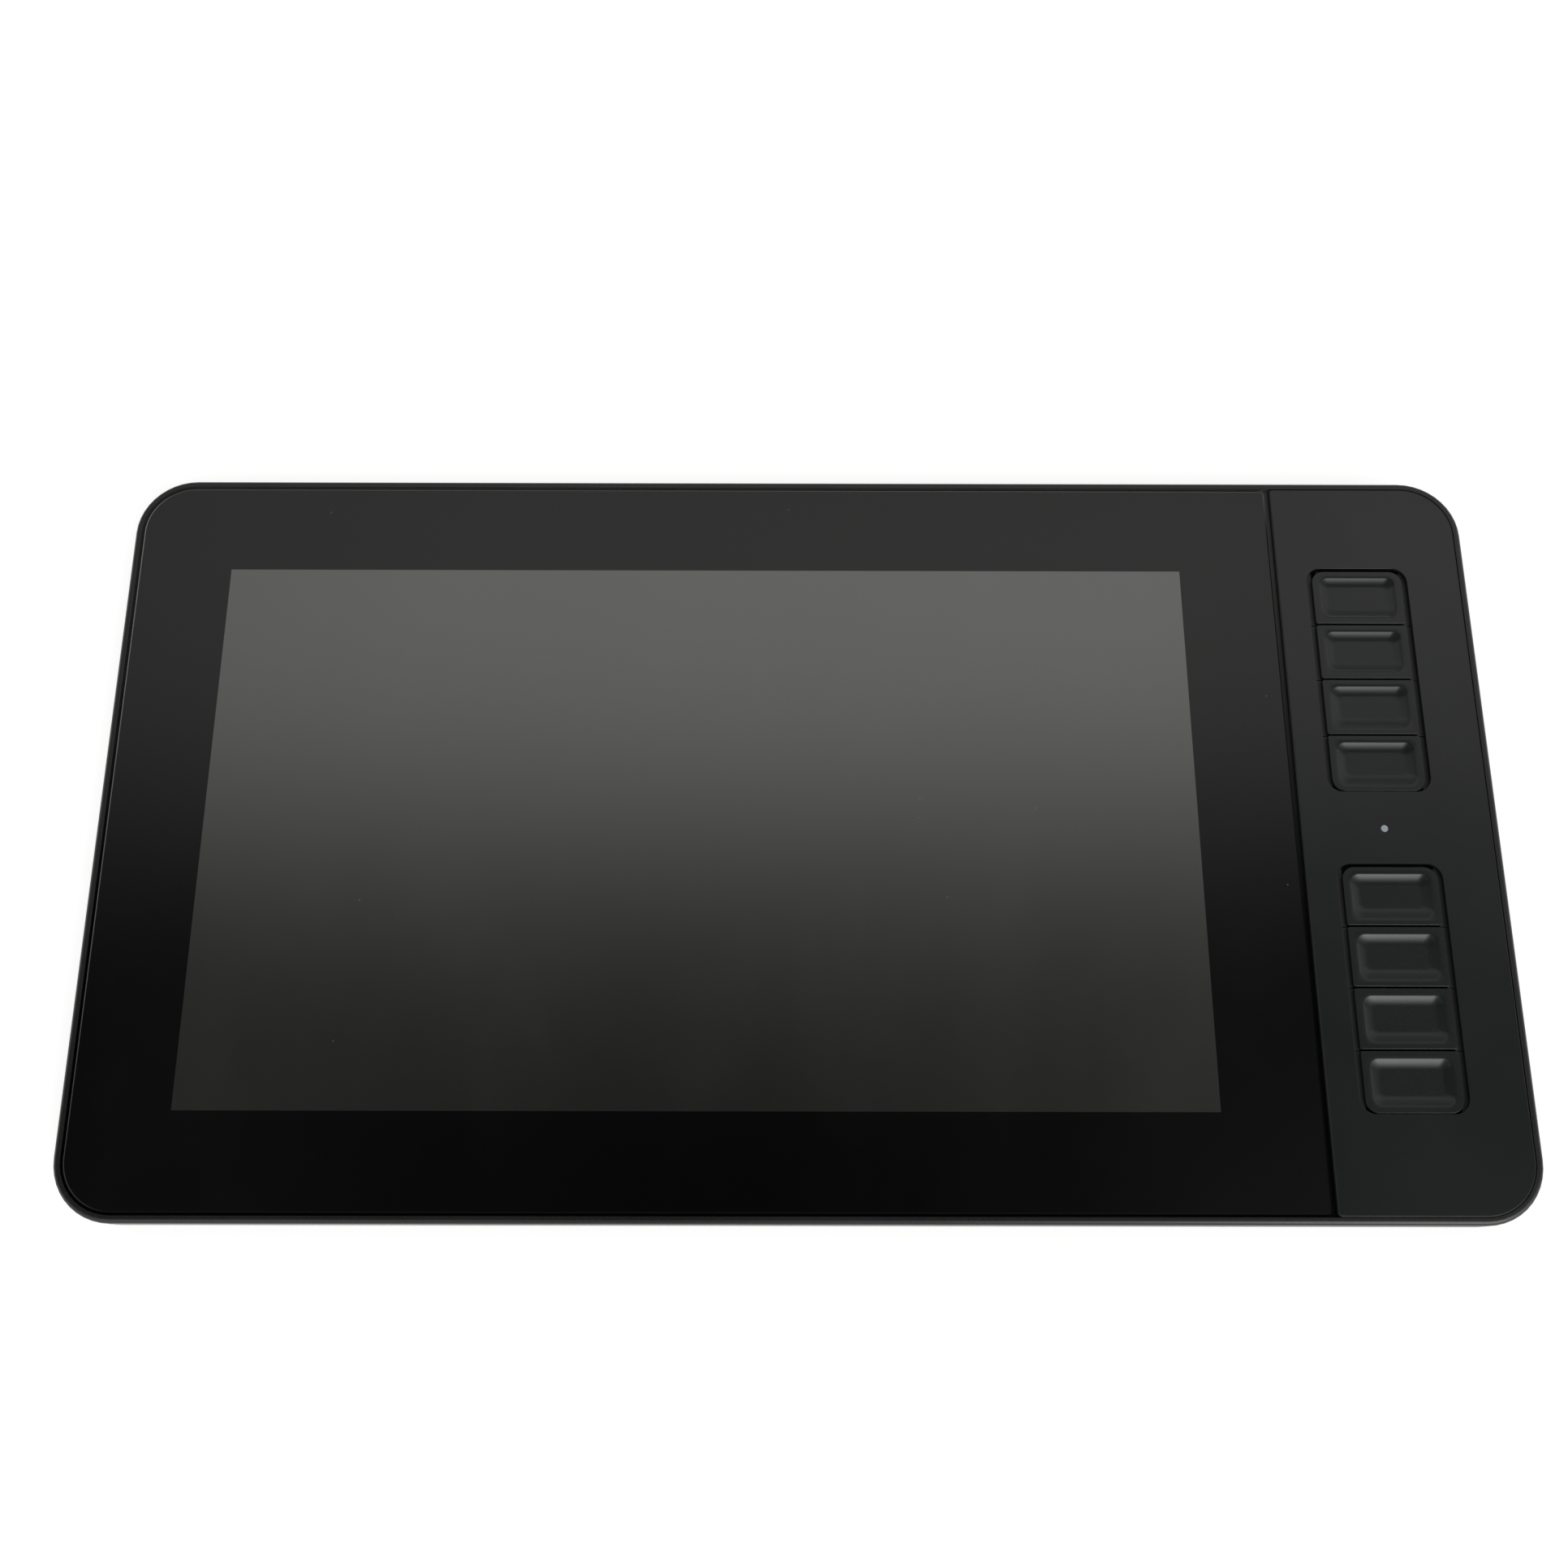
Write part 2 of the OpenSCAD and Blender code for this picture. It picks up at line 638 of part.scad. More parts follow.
module rear_cover() {
    color(case_colour) difference() {
        union() {
            difference() {
                slab(case_w, case_d, case_corner_r, z_under, z_cover_top)
                    edge_section(case_corner_r, z_under, z_cover_top, rear_edge_r, 0);
                translate([0, 0, z_floor]) linear_extrude(z_cover_top - z_floor + over) inner_outline(0);
            }
            support_ribs();
            for (p = case_screw_points)
                translate([p[0], p[1], z_floor - bite]) cylinder(r = boss_r, h = z_boss - z_floor + bite);
            for (p = board_screw_points)
                translate([p[0], p[1], z_floor - bite]) cylinder(r = post_r, h = z_board - z_floor + bite);
            for (p = button_screw_points)
                translate([p[0], p[1], z_floor - bite]) cylinder(r = post_r, h = button_board_lift + bite);
        }
        for (p = case_screw_points) translate([p[0], p[1], z_under - over]) {
            cylinder(r = head_r + head_gap, h = head_seat + over);
            cylinder(r = screw_r + screw_gap, h = z_boss - z_under + 2 * over);
        }
        for (p = board_screw_points)
            translate([p[0], p[1], z_board - post_pilot])
                cylinder(r = screw_r + pilot_gap, h = post_pilot + over);
        for (p = button_screw_points)
            translate([p[0], p[1], z_floor]) cylinder(r = screw_r + pilot_gap, h = button_board_lift + over);
        for (sx = [-1, 1], sy = [-1, 1])
            translate([sx * foot_x(), sy * foot_y(), z_under - over]) linear_extrude(foot_seat + over)
                rounded_rect(foot_l + 2 * fit_gap, foot_w + 2 * fit_gap, foot_corner_r() + fit_gap);
        upright(wall_y - over, wall_t + 2 * over) {
            translate([usb_x, z_board - usb_h / 2]) stadium(usb_w + 2 * socket_gap, usb_h + 2 * socket_gap);
            translate([video_x, z_board - video_h / 2]) video_outline(socket_gap);
            for (i = [0 : button_count - 1])
                translate([button_place(i), z_button])
                    stadium(button_w + 2 * button_gap, button_h + 2 * button_gap);
        }
    }
}

// Ribs under the screen module, which carry its shield
module support_ribs() {
    across = round(lcd_w / rib_pitch);
    along = round(lcd_d / rib_pitch);
    rib_z = z_floor - bite;
    rib_h = z_shield - rib_z;
    for (i = [0 : across])
        block(screen_x + (lcd_w - rib_t) * (i / across - 1 / 2), 0, rib_z, [rib_t, lcd_d, rib_h]);
    for (i = [0 : along])
        block(screen_x, (lcd_d - rib_t) * (i / along - 1 / 2), rib_z, [lcd_w, rib_t, rib_h]);
}

function foot_x() = case_w / 2 - foot_inset_x;
function foot_y() = case_d / 2 - foot_inset_y;
function foot_corner_r() = foot_w / 2 - 2 * fit_gap;

module foot(sx, sy) {
    height = z_under + foot_seat;
    color(rubber_colour) translate([sx * foot_x(), sy * foot_y(), 0])
        slab(foot_l, foot_w, foot_corner_r(), 0, height)
            edge_section(foot_corner_r(), 0, height, foot_edge_r, 0);
}

module case_screws() {
    color(steel_colour) for (p = case_screw_points) translate([p[0], p[1], z_head]) {
        translate([0, 0, -head_h]) screw_head();
        cylinder(r = screw_r, h = z_boss + screw_grip - z_head);
    }
}

// Pan head with a cross recess in its lower face
module screw_head() {
    recess_l = 1.3 * head_r;
    recess_w = 0.3 * head_r;
    recess_h = head_h / 2;
    difference() {
        cylinder(r = head_r, h = head_h);
        for (a = [0, 90]) rotate(a) block(0, 0, -over, [recess_l, recess_w, recess_h + over]);
    }
}

// Glass and key panel

module cover_glass() {
    color(glass_colour)
        chamfered_plate(glass_x0, glass_x1, glass_d, plate_corner_r, seam_corner_r,
                        z_glass, z_top, glass_edge);
}

module glass_tape() {
    tape_l = glass_w - 2 * glass_gap;
    tape_d = glass_d - 2 * glass_gap;
    color(foam_colour) translate([screen_x, 0, z_shelf]) linear_extrude(tape_t) difference() {
        rounded_rect(tape_l, tape_d, plate_corner_r);
        square([tape_l - 2 * tape_w, tape_d - 2 * tape_w], center = true);
    }
}

module key_panel() {
    color(panel_colour) difference() {
        chamfered_plate(panel_x0, panel_x1, glass_d, seam_corner_r, plate_corner_r,
                        z_shelf, z_top, glass_edge);
        for (s = [-1, 1]) translate([keys_x, s * group_y + window_shift, 0]) {
            translate([0, 0, z_shelf - over]) linear_extrude(panel_t + 2 * over)
                rounded_rect(window_w, window_d, window_r);
            hull() {
                translate([0, 0, z_top - window_edge]) linear_extrude(slice)
                    rounded_rect(window_w, window_d, window_r);
                translate([0, 0, z_top]) linear_extrude(slice)
                    rounded_rect(window_w + 2 * window_edge, window_d + 2 * window_edge,
                                 window_r + window_edge);
            }
        }
        translate([keys_x, 0, z_shelf - over])
            cylinder(d = indicator_d + 2 * fit_gap, h = panel_t + 2 * over);
    }
}

module light_pipe() {
    color(white_colour) translate([keys_x, 0, 0]) {
        translate([0, 0, z_indicator_led_top]) cylinder(d = indicator_d, h = z_top - z_indicator_led_top);
        translate([0, 0, z_shelf - flange_t]) cylinder(d = indicator_collar_d, h = flange_t);
    }
}

// Keys

function key_row(n) = (n - 1) % keys_per_group;
function key_y(n) =
    (n > keys_per_group ? -group_y : group_y) + ((keys_per_group - 1) / 2 - key_row(n)) * key_pitch;

// Ring of a key at a distance d from its edge, with radii that change from the edge's to the dish's
function key_ring(d, z, near_r, far_r) =
    let (
        on_ledge = min(d / key_ledge, 1),
        on_slope = max(d - key_ledge, 0) / key_slope_w,
        shrink = (key_floor_r - key_dish_r) * on_slope,
        near = near_r + (key_dish_r - near_r) * on_ledge + shrink,
        far = far_r + (key_dish_r - far_r) * on_ledge + shrink
    )
    [for (p = outline_points(key_w - 2 * d, key_d - 2 * d, near, far, 6)) [p[0], p[1], z]];

// Height of a key's surface at a share u of the slope, from 0 at the ledge to 1 at the dish's floor
function slope_z(u) = z_key_edge - key_dish * (1 - pow(1 - u, key_slope_power));

module key(n) {
    levels = 7;
    near_r = key_row(n) == keys_per_group - 1 ? key_outer_r : key_corner_r;
    far_r = key_row(n) == 0 ? key_outer_r : key_corner_r;
    shares = [for (i = [0 : levels]) i / levels];
    rings = concat([key_ring(0, z_flange, near_r, far_r), key_ring(0, z_key_edge, near_r, far_r)],
                   [for (u = shares) key_ring(key_ledge + key_slope_w * u, slope_z(u), near_r, far_r)]);
    roof = z_key_edge - key_dish - key_roof_t;
    color(key_colour) translate([keys_x, key_y(n), 0]) {
        difference() {
            union() {
                loft(rings);
                for (s = [-1, 1])
                    block(s * (key_w + flange_reach - bite) / 2, 0, z_flange,
                          [flange_reach + bite, key_d - 2 * flange_inset, flange_t]);
            }
            translate([0, 0, z_flange - over]) linear_extrude(roof - z_flange + over)
                rounded_rect(key_w - 2 * key_wall, key_d - 2 * key_wall, key_outer_r - key_wall);
        }
        translate([0, 0, z_stem_top]) cylinder(r = key_post_r, h = roof - z_stem_top + bite);
    }
}

module key_stem(n) {
    color(white_colour) translate([keys_x, key_y(n), z_switch_top - stem_in])
        cylinder(r = stem_r, h = z_stem_top - z_switch_top + stem_in);
}

module key_switches() {
    bore = stem_in + key_travel + stop_gap;
    color(chip_colour) for (n = [1 : key_count]) translate([keys_x, key_y(n), 0]) difference() {
        block(0, 0, z_board_top, [switch_w, switch_w, switch_h]);
        translate([0, 0, z_switch_top - bore]) cylinder(r = stem_r + stem_gap, h = bore + over);
    }
}

// Control boards

module main_board() {
    color(board_colour) translate([0, 0, z_board]) linear_extrude(board_t) difference() {
        union() {
            translate([board_x0, -board_d / 2]) square([board_x1 - board_x0, board_d]);
            translate([board_x0, board_near_y]) square([board_end_w, board_far_y - board_near_y]);
        }
        for (p = board_screw_points) translate(p) circle(screw_r + screw_gap);
    }
}

module board_chips() {
    color(chip_colour) for (c = chip_list) block(keys_x + c[0], c[1], z_board - c[4], [c[2], c[3], c[4]]);
}

module board_screws() {
    color(steel_colour) {
        for (p = board_screw_points) board_screw(p, z_board_top, board_t + post_pilot - stop_gap);
        for (p = button_screw_points)
            board_screw(p, z_button_board_top, button_board_t + button_board_lift - stop_gap);
    }
}

module board_screw(p, z, length) {
    translate([p[0], p[1], z + head_h]) mirror([0, 0, 1]) screw_head();
    translate([p[0], p[1], z - length]) cylinder(r = screw_r, h = length + bite);
}

module indicator_led() {
    color(white_colour) block(keys_x, 0, z_board_top, indicator_led_size);
}

// Sockets

// Mouth of the video socket about its middle, grown or shrunk all round
module video_outline(grow) {
    half = video_w / 2 + grow;
    rise = video_h / 2 + grow;
    polygon([[-half, rise], [half, rise], [half, video_chamfer - rise], [half - video_chamfer, -rise],
             [video_chamfer - half, -rise], [-half, video_chamfer - rise]]);
}

// Shell with a tongue inside: the first child is its outer and the second its inner outline
module socket(x, z, tongue_w) {
    color(steel_colour) difference() {
        upright(socket_y - socket_l, socket_l) translate([x, z]) children(0);
        difference() {
            upright(socket_y - socket_l + socket_back_t, socket_l) translate([x, z]) children(1);
            translate([x - tongue_w / 2, socket_y - socket_l, z - tongue_t / 2])
                cube([tongue_w, socket_l - tongue_setback, tongue_t]);
        }
    }
}

module usb_port() {
    socket(usb_x, z_board - usb_h / 2, usb_w - 2 * tongue_side) {
        stadium(usb_w, usb_h);
        stadium(usb_w - 2 * shell_t, usb_h - 2 * shell_t);
    }
}

module video_port() {
    socket(video_x, z_board - video_h / 2, video_w - 2 * (video_chamfer + shell_t)) {
        video_outline(0);
        video_outline(-shell_t);
    }
}

// Screen module

module lcd_gasket() {
    color(foam_colour) translate([screen_x, 0, z_gasket]) linear_extrude(gasket_t) difference() {
        square([cell_w, cell_d], center = true);
        square([screen_w + 2 * gasket_margin, screen_d + 2 * gasket_margin], center = true);
    }
}

module lcd_cell() {
    color(screen_colour) block(screen_x, 0, z_cell, [cell_w, cell_d, cell_t]);
}

module panel_frame() {
    height = z_cell - z_reflector;
    color(white_colour) translate([screen_x, 0, z_reflector]) linear_extrude(height) difference() {
        square([cell_w, cell_d], center = true);
        square([well_w, well_d], center = true);
    }
}

module diffuser_sheet() {
    color(white_colour) block(screen_x, 0, z_sheets, [sheet_w, sheet_d, sheets_t]);
}

module light_guide() {
    color(white_colour) block(screen_x, led_space / 2, z_guide, [sheet_w, sheet_d - led_space, guide_t]);
}

module reflector_sheet() {
    color(white_colour) block(screen_x, 0, z_reflector, [sheet_w, sheet_d, reflector_t]);
}

// Strip with a row of lamps along the near edge of the light guide
module led_strip() {
    count = round(sheet_w / led_pitch);
    board_y = (led_board_t - sheet_d) / 2;
    chip_y = board_y + (led_board_t + led_chip_d - bite) / 2;
    color(white_colour) {
        block(screen_x, board_y, z_guide, [sheet_w, led_board_t, guide_t]);
        for (i = [0 : count - 1])
            block(screen_x + sheet_w * ((i + 1 / 2) / count - 1 / 2), chip_y, z_guide,
                  [led_chip_w, led_chip_d + bite, guide_t]);
    }
}

module backlight_tray() {
    color(steel_colour) difference() {
        block(screen_x, 0, z_tray, [lcd_w, lcd_d, z_gasket - z_tray]);
        block(screen_x, 0, z_reflector, [tray_inner_w, tray_inner_d, z_gasket - z_reflector + over]);
    }
}

module lcd_driver_board() {
    color(board_colour) block(screen_x, driver_y, z_driver, [driver_l, driver_d, board_t]);
}

module lcd_cable() {
    ribbon(screen_x + driver_l / 2 - ribbon_land, z_driver - ribbon_t, board_x0 + ribbon_land, z_board_top,
           driver_y, lcd_ribbon_w);
}

// Pen sensor

module digitizer_board() {
    color(board_colour) block(screen_x + digitizer_tail / 2, 0, z_digitizer,
                              [lcd_w + digitizer_tail, lcd_d, digitizer_t]);
}

module digitizer_cable() {
    ribbon(lcd_x1 + lcd_window_gap, z_tray, board_x0 + ribbon_land, z_board_top,
           digitizer_ribbon_y, digitizer_ribbon_w);
}

module shield_plate() {
    color(steel_colour) block(screen_x, 0, z_shield, [lcd_w, lcd_d, shield_t]);
}

// Edge buttons and their board

function button_place(i) = button_x + (i - (button_count - 1) / 2) * button_pitch;

module button_board() {
    color(board_colour) difference() {
        block(button_x, button_board_y, z_button_board, [button_board_l, button_board_d, button_board_t]);
        for (p = button_screw_points)
            translate([p[0], p[1], z_button_board - over])
                cylinder(r = screw_r + screw_gap, h = button_board_t + 2 * over);
    }
}

module button_cable() {
    near_y = button_board_y - button_board_d / 2 + fit_gap;
    ribbon(button_x + button_board_l / 2 - ribbon_land, z_button_board_top,
           board_x0 + ribbon_land, z_board - ribbon_t, near_y + button_ribbon_w / 2, button_ribbon_w);
}

module side_switches() {
    bore = side_stem_in + button_travel + stop_gap;
    color(chip_colour) for (i = [0 : button_count - 1]) difference() {
        block(button_place(i), side_switch_y - side_switch_d / 2, z_button_board_top,
              [side_switch_w, side_switch_d, side_switch_h]);
        upright(side_switch_y - bore, bore + over) translate([button_place(i), z_button])
            circle(side_stem_r + stem_gap);
    }
}

module edge_button(i) {
    face_y = case_d / 2 - button_recess;
    cap_y = wall_y - flange_gap - bite;
    flange_grow = 2 * (button_gap + button_lap);
    color(panel_colour) {
        upright(cap_y, face_y - cap_y) translate([button_place(i), z_button]) stadium(button_w, button_h);
        upright(button_flange_y, flange_t) translate([button_place(i), z_button])
            stadium(button_w + flange_grow, button_h + flange_grow);
        upright(side_stem_y, button_nub + bite) translate([button_place(i), z_button]) circle(side_stem_r);
    }
}

module edge_button_stem(i) {
    color(white_colour) upright(side_switch_y - side_stem_in, side_stem_y - side_switch_y + side_stem_in)
        translate([button_place(i), z_button]) circle(side_stem_r);
}

front_frame();
rear_cover();
cover_glass();
glass_tape();
key_panel();
light_pipe();
key(1);  // key_1
key(2);  // key_2
key(3);  // key_3
key(4);  // key_4
key(5);  // key_5
key(6);  // key_6
key(7);  // key_7
key(8);  // key_8
key_stem(1);  // key_1_stem
key_stem(2);  // key_2_stem
key_stem(3);  // key_3_stem
key_stem(4);  // key_4_stem
key_stem(5);  // key_5_stem
key_stem(6);  // key_6_stem
key_stem(7);  // key_7_stem
key_stem(8);  // key_8_stem
key_switches();
main_board();
board_chips();
board_screws();
indicator_led();
usb_port();
video_port();
lcd_gasket();
lcd_cell();
panel_frame();
diffuser_sheet();
light_guide();
reflector_sheet();
led_strip();
backlight_tray();
lcd_driver_board();
lcd_cable();
digitizer_board();
digitizer_cable();
shield_plate();
button_board();
button_cable();
side_switches();
edge_button(0);  // power_button
edge_button(1);  // menu_button
edge_button(2);  // minus_button
edge_button(3);  // plus_button
edge_button_stem(0);  // power_button_stem
edge_button_stem(1);  // menu_button_stem
edge_button_stem(2);  // minus_button_stem
edge_button_stem(3);  // plus_button_stem
foot(-1, 1);  // foot_far_left
foot(1, 1);  // foot_far_right
foot(-1, -1);  // foot_near_left
foot(1, -1);  // foot_near_right
case_screws();
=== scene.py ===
"""Looks of a graphics tablet with a built-in screen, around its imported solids.

Lengths in the code are in millimetres in the row frame (+X right, +Y away from the user, +Z up)
and become metres when a mesh is made.
"""

import math

import bpy
from mathutils import Matrix, Vector
from mathutils.geometry import tessellate_polygon


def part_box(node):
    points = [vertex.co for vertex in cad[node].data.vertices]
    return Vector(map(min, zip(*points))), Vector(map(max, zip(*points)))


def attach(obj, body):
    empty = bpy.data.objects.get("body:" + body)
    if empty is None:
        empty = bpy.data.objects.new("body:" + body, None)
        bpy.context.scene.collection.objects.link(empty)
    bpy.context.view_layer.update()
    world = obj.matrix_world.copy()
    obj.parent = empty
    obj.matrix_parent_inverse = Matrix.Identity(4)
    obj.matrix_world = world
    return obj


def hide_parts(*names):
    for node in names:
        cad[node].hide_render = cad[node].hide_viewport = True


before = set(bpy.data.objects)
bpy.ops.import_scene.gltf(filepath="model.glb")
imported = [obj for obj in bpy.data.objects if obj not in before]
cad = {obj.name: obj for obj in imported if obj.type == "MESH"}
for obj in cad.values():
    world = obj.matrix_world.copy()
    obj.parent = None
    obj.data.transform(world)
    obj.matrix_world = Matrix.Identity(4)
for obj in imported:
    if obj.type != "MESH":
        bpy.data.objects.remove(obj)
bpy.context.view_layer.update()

MM = 0.001


def span(node):
    """Lowest and highest corner of a solid in millimetres."""
    low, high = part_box(node)
    return Vector(low) / MM, Vector(high) / MM


# Sizes that the looks share with the solids
GLASS_LOW, GLASS_HIGH = span("cover_glass")
PANEL_LOW, PANEL_HIGH = span("key_panel")
TOP = GLASS_HIGH.z
SCREEN_W = 256.32
SCREEN_D = 144.18
SCREEN_X = (GLASS_LOW.x + GLASS_HIGH.x) / 2
PLATE_CORNER = 12.95
SEAM_CORNER = 1.0
PLATE_EDGE = 0.35
RIM_T = 1.9
CASE_CORNER = 15.5
KEY_COUNT = 8
KEYS_PER_GROUP = 4
KEY_W = 24.1
KEY_X = (span("light_pipe")[0].x + span("light_pipe")[1].x) / 2
KEY_LEDGE = 1.8
KEY_DISH = 0.8
KEY_SLOPE_W = 2.8
KEY_FLOOR_R = 1.2
KEY_OUTER_R = 3.2
KEY_INNER_R = 0.5
KEY_FLANGE_T = 0.8
KEY_FLANGE_REACH = 2.5
KEY_POST = 0.5
KEY_POST_R = 1.8
WINDOW_W = 27.1
WINDOW_R = 4.0
WINDOW_EDGE = 0.1
WINDOW_FAR_GAP = 0.85
WINDOW_NEAR_GAP = 0.25
INDICATOR_HOLE_R = 1.05
BUTTONS = ("power", "menu", "minus", "plus")
BUTTON_LAP = 1.0
BUTTON_NUB_R = 0.7
FLANGE_PLAY = 0.05

# Sizes of the looks alone
# The dish has tighter corners than that of the solids, which makes its highlights longer
KEY_DISH_R = 2.4
# The flanges are longer than those of the solids, so that the moat beside the keys looks closed
KEY_FLANGE_INSET = -0.2
# How much further than its solid the panel reaches, so that only a hairline shows along the rim
PANEL_FIT = 0.55
# Width of the level strip beside a rounded edge, which keeps the edge's shading off the flat face
FLAT_STRIP = 0.05
KEY_EDGE = 0.12
INDICATOR_EDGE = 0.12
FLANGE_EDGE = 0.1
FLANGE_CORNER = 0.3
BUTTON_EDGE = 0.35
BUTTON_FLANGE_EDGE = 0.08
POST_EDGE = 0.05
# How far a flange, a cap or a post runs into what it stands on
FLANGE_JOIN = 0.3
POST_JOIN = 0.1
PLATE_STEPS = 20
POST_STEPS = 24
HOLE_STEPS = 3
DISH_LEVELS = 26

# Painted shade in the groove under the glass and the key panel, with painted light on its far side and far
# wall
SHADE_BELOW_TOP = 0.25
SHADE_FADE = 0.3
SHADE_BLACK_D = 60
SHADE_SPECULAR = 0.08
PAINTED_LIGHT_WALL_T = 0.1
# Share of the rim's thickness at which the painted shade ends
RIM_SHARE = 0.98

# The photograph's camera
SENSOR_W = 36.0
PHOTO_PIXELS = 1932
FOCAL_PIXELS = 2006.4
CAMERA_PLACE = Vector((-4.24, -114.3, 415.05))

# The paper that the part stands on, with the radius and the height of each ring from the middle out
PAPER_RINGS = (
    (400, 0), (1500, 0), (4000, 0), (5500, 0), (6200, 120), (6700, 400), (7000, 900), (7150, 1800),
)
PAPER_STEPS = 96
PAPER_COLOUR = (0.36, 0.36, 0.358, 1)
PAPER_GLOW = 0.74


# Node materials


class Shader:
    """A node material with a Principled surface and short ways to add nodes to it."""

    def __init__(self, name):
        self.material = bpy.data.materials.new(name)
        self.material.use_nodes = True
        self.tree = self.material.node_tree
        self.surface = self.tree.nodes["Principled BSDF"]
        self.coordinates = self.tree.nodes.new("ShaderNodeTexCoord").outputs["Object"]

    def add(self, kind, **settings):
        made = self.tree.nodes.new(kind)
        for key, value in settings.items():
            setattr(made, key, value)
        return made

    def link(self, source, target):
        self.tree.links.new(source, target)

    def put(self, target, value):
        """Links an output, or sets a constant, on an input."""
        if isinstance(value, bpy.types.NodeSocket):
            self.link(value, target)
        else:
            target.default_value = value

    def set(self, **values):
        """Constants on the surface's own sockets, such as ior=1.5."""
        names = {"ior": "IOR", "specular": "Specular IOR Level"}
        for key, value in values.items():
            self.surface.inputs[names.get(key, key.replace("_", " ").title())].default_value = value

    def stretched(self, x, y, z):
        """The coordinates with each axis times a factor."""
        made = self.add("ShaderNodeVectorMath", operation="MULTIPLY")
        self.link(self.coordinates, made.inputs[0])
        made.inputs[1].default_value = (x, y, z)
        return made.outputs["Vector"]

    def noise(self, size, detail=2.0, roughness=0.5, coordinates=None):
        """Noise from 0 to 1 whose features are about that many millimetres."""
        made = self.add("ShaderNodeTexNoise")
        self.link(coordinates or self.coordinates, made.inputs["Vector"])
        made.inputs["Scale"].default_value = 1 / (size * MM)
        made.inputs["Detail"].default_value = detail
        made.inputs["Roughness"].default_value = roughness
        return made.outputs["Fac"]

    def cells(self, size, randomness=1.0):
        """Distance to the nearest of scattered points, in units of the cell size."""
        made = self.add("ShaderNodeTexVoronoi")
        self.link(self.coordinates, made.inputs["Vector"])
        made.inputs["Scale"].default_value = 1 / (size * MM)
        made.inputs["Randomness"].default_value = randomness
        return made.outputs["Distance"]

    def axis(self, name):
        made = self.add("ShaderNodeSeparateXYZ")
        self.link(self.coordinates, made.inputs["Vector"])
        return made.outputs[name]

    def math(self, operation, a, b=0.5):
        made = self.add("ShaderNodeMath", operation=operation)
        self.put(made.inputs[0], a)
        self.put(made.inputs[1], b)
        return made.outputs["Value"]

    def remap(self, value, low, high, to_low, to_high, smooth=False):
        made = self.add("ShaderNodeMapRange")
        if smooth:
            made.interpolation_type = "SMOOTHSTEP"
        self.put(made.inputs["Value"], value)
        limits = {"From Min": low, "From Max": high, "To Min": to_low, "To Max": to_high}
        for key, number in limits.items():
            made.inputs[key].default_value = number
        return made.outputs["Result"]

    def mix(self, factor, a, b):
        """Colour a where the factor is 0 and colour b where it is 1."""
        made = self.add("ShaderNodeMix", data_type="RGBA")
        colours = [s for s in made.inputs if s.type == "RGBA"]
        self.put(made.inputs[0], factor)
        self.put(colours[0], a)
        self.put(colours[1], b)
        return [s for s in made.outputs if s.type == "RGBA"][0]

    def paint(self, colour):
        self.link(colour, self.surface.inputs["Base Color"])

    def gloss(self, roughness):
        self.link(roughness, self.surface.inputs["Roughness"])

    def relief(self, height, depth, strength=1.0):
        """Bump from a height of 0 to 1 that stands for a depth in millimetres."""
        made = self.add("ShaderNodeBump")
        made.inputs["Strength"].default_value = strength
        made.inputs["Distance"].default_value = depth * MM
        self.link(height, made.inputs["Height"])
        self.link(made.outputs["Normal"], self.surface.inputs["Normal"])


def linear(red, green, blue):
    """A colour written as 0 to 255 values of a screen, as linear RGBA."""
    def one(value):
        value /= 255
        return value / 12.92 if value <= 0.04045 else ((value + 0.055) / 1.055) ** 2.4
    return (one(red), one(green), one(blue), 1.0)


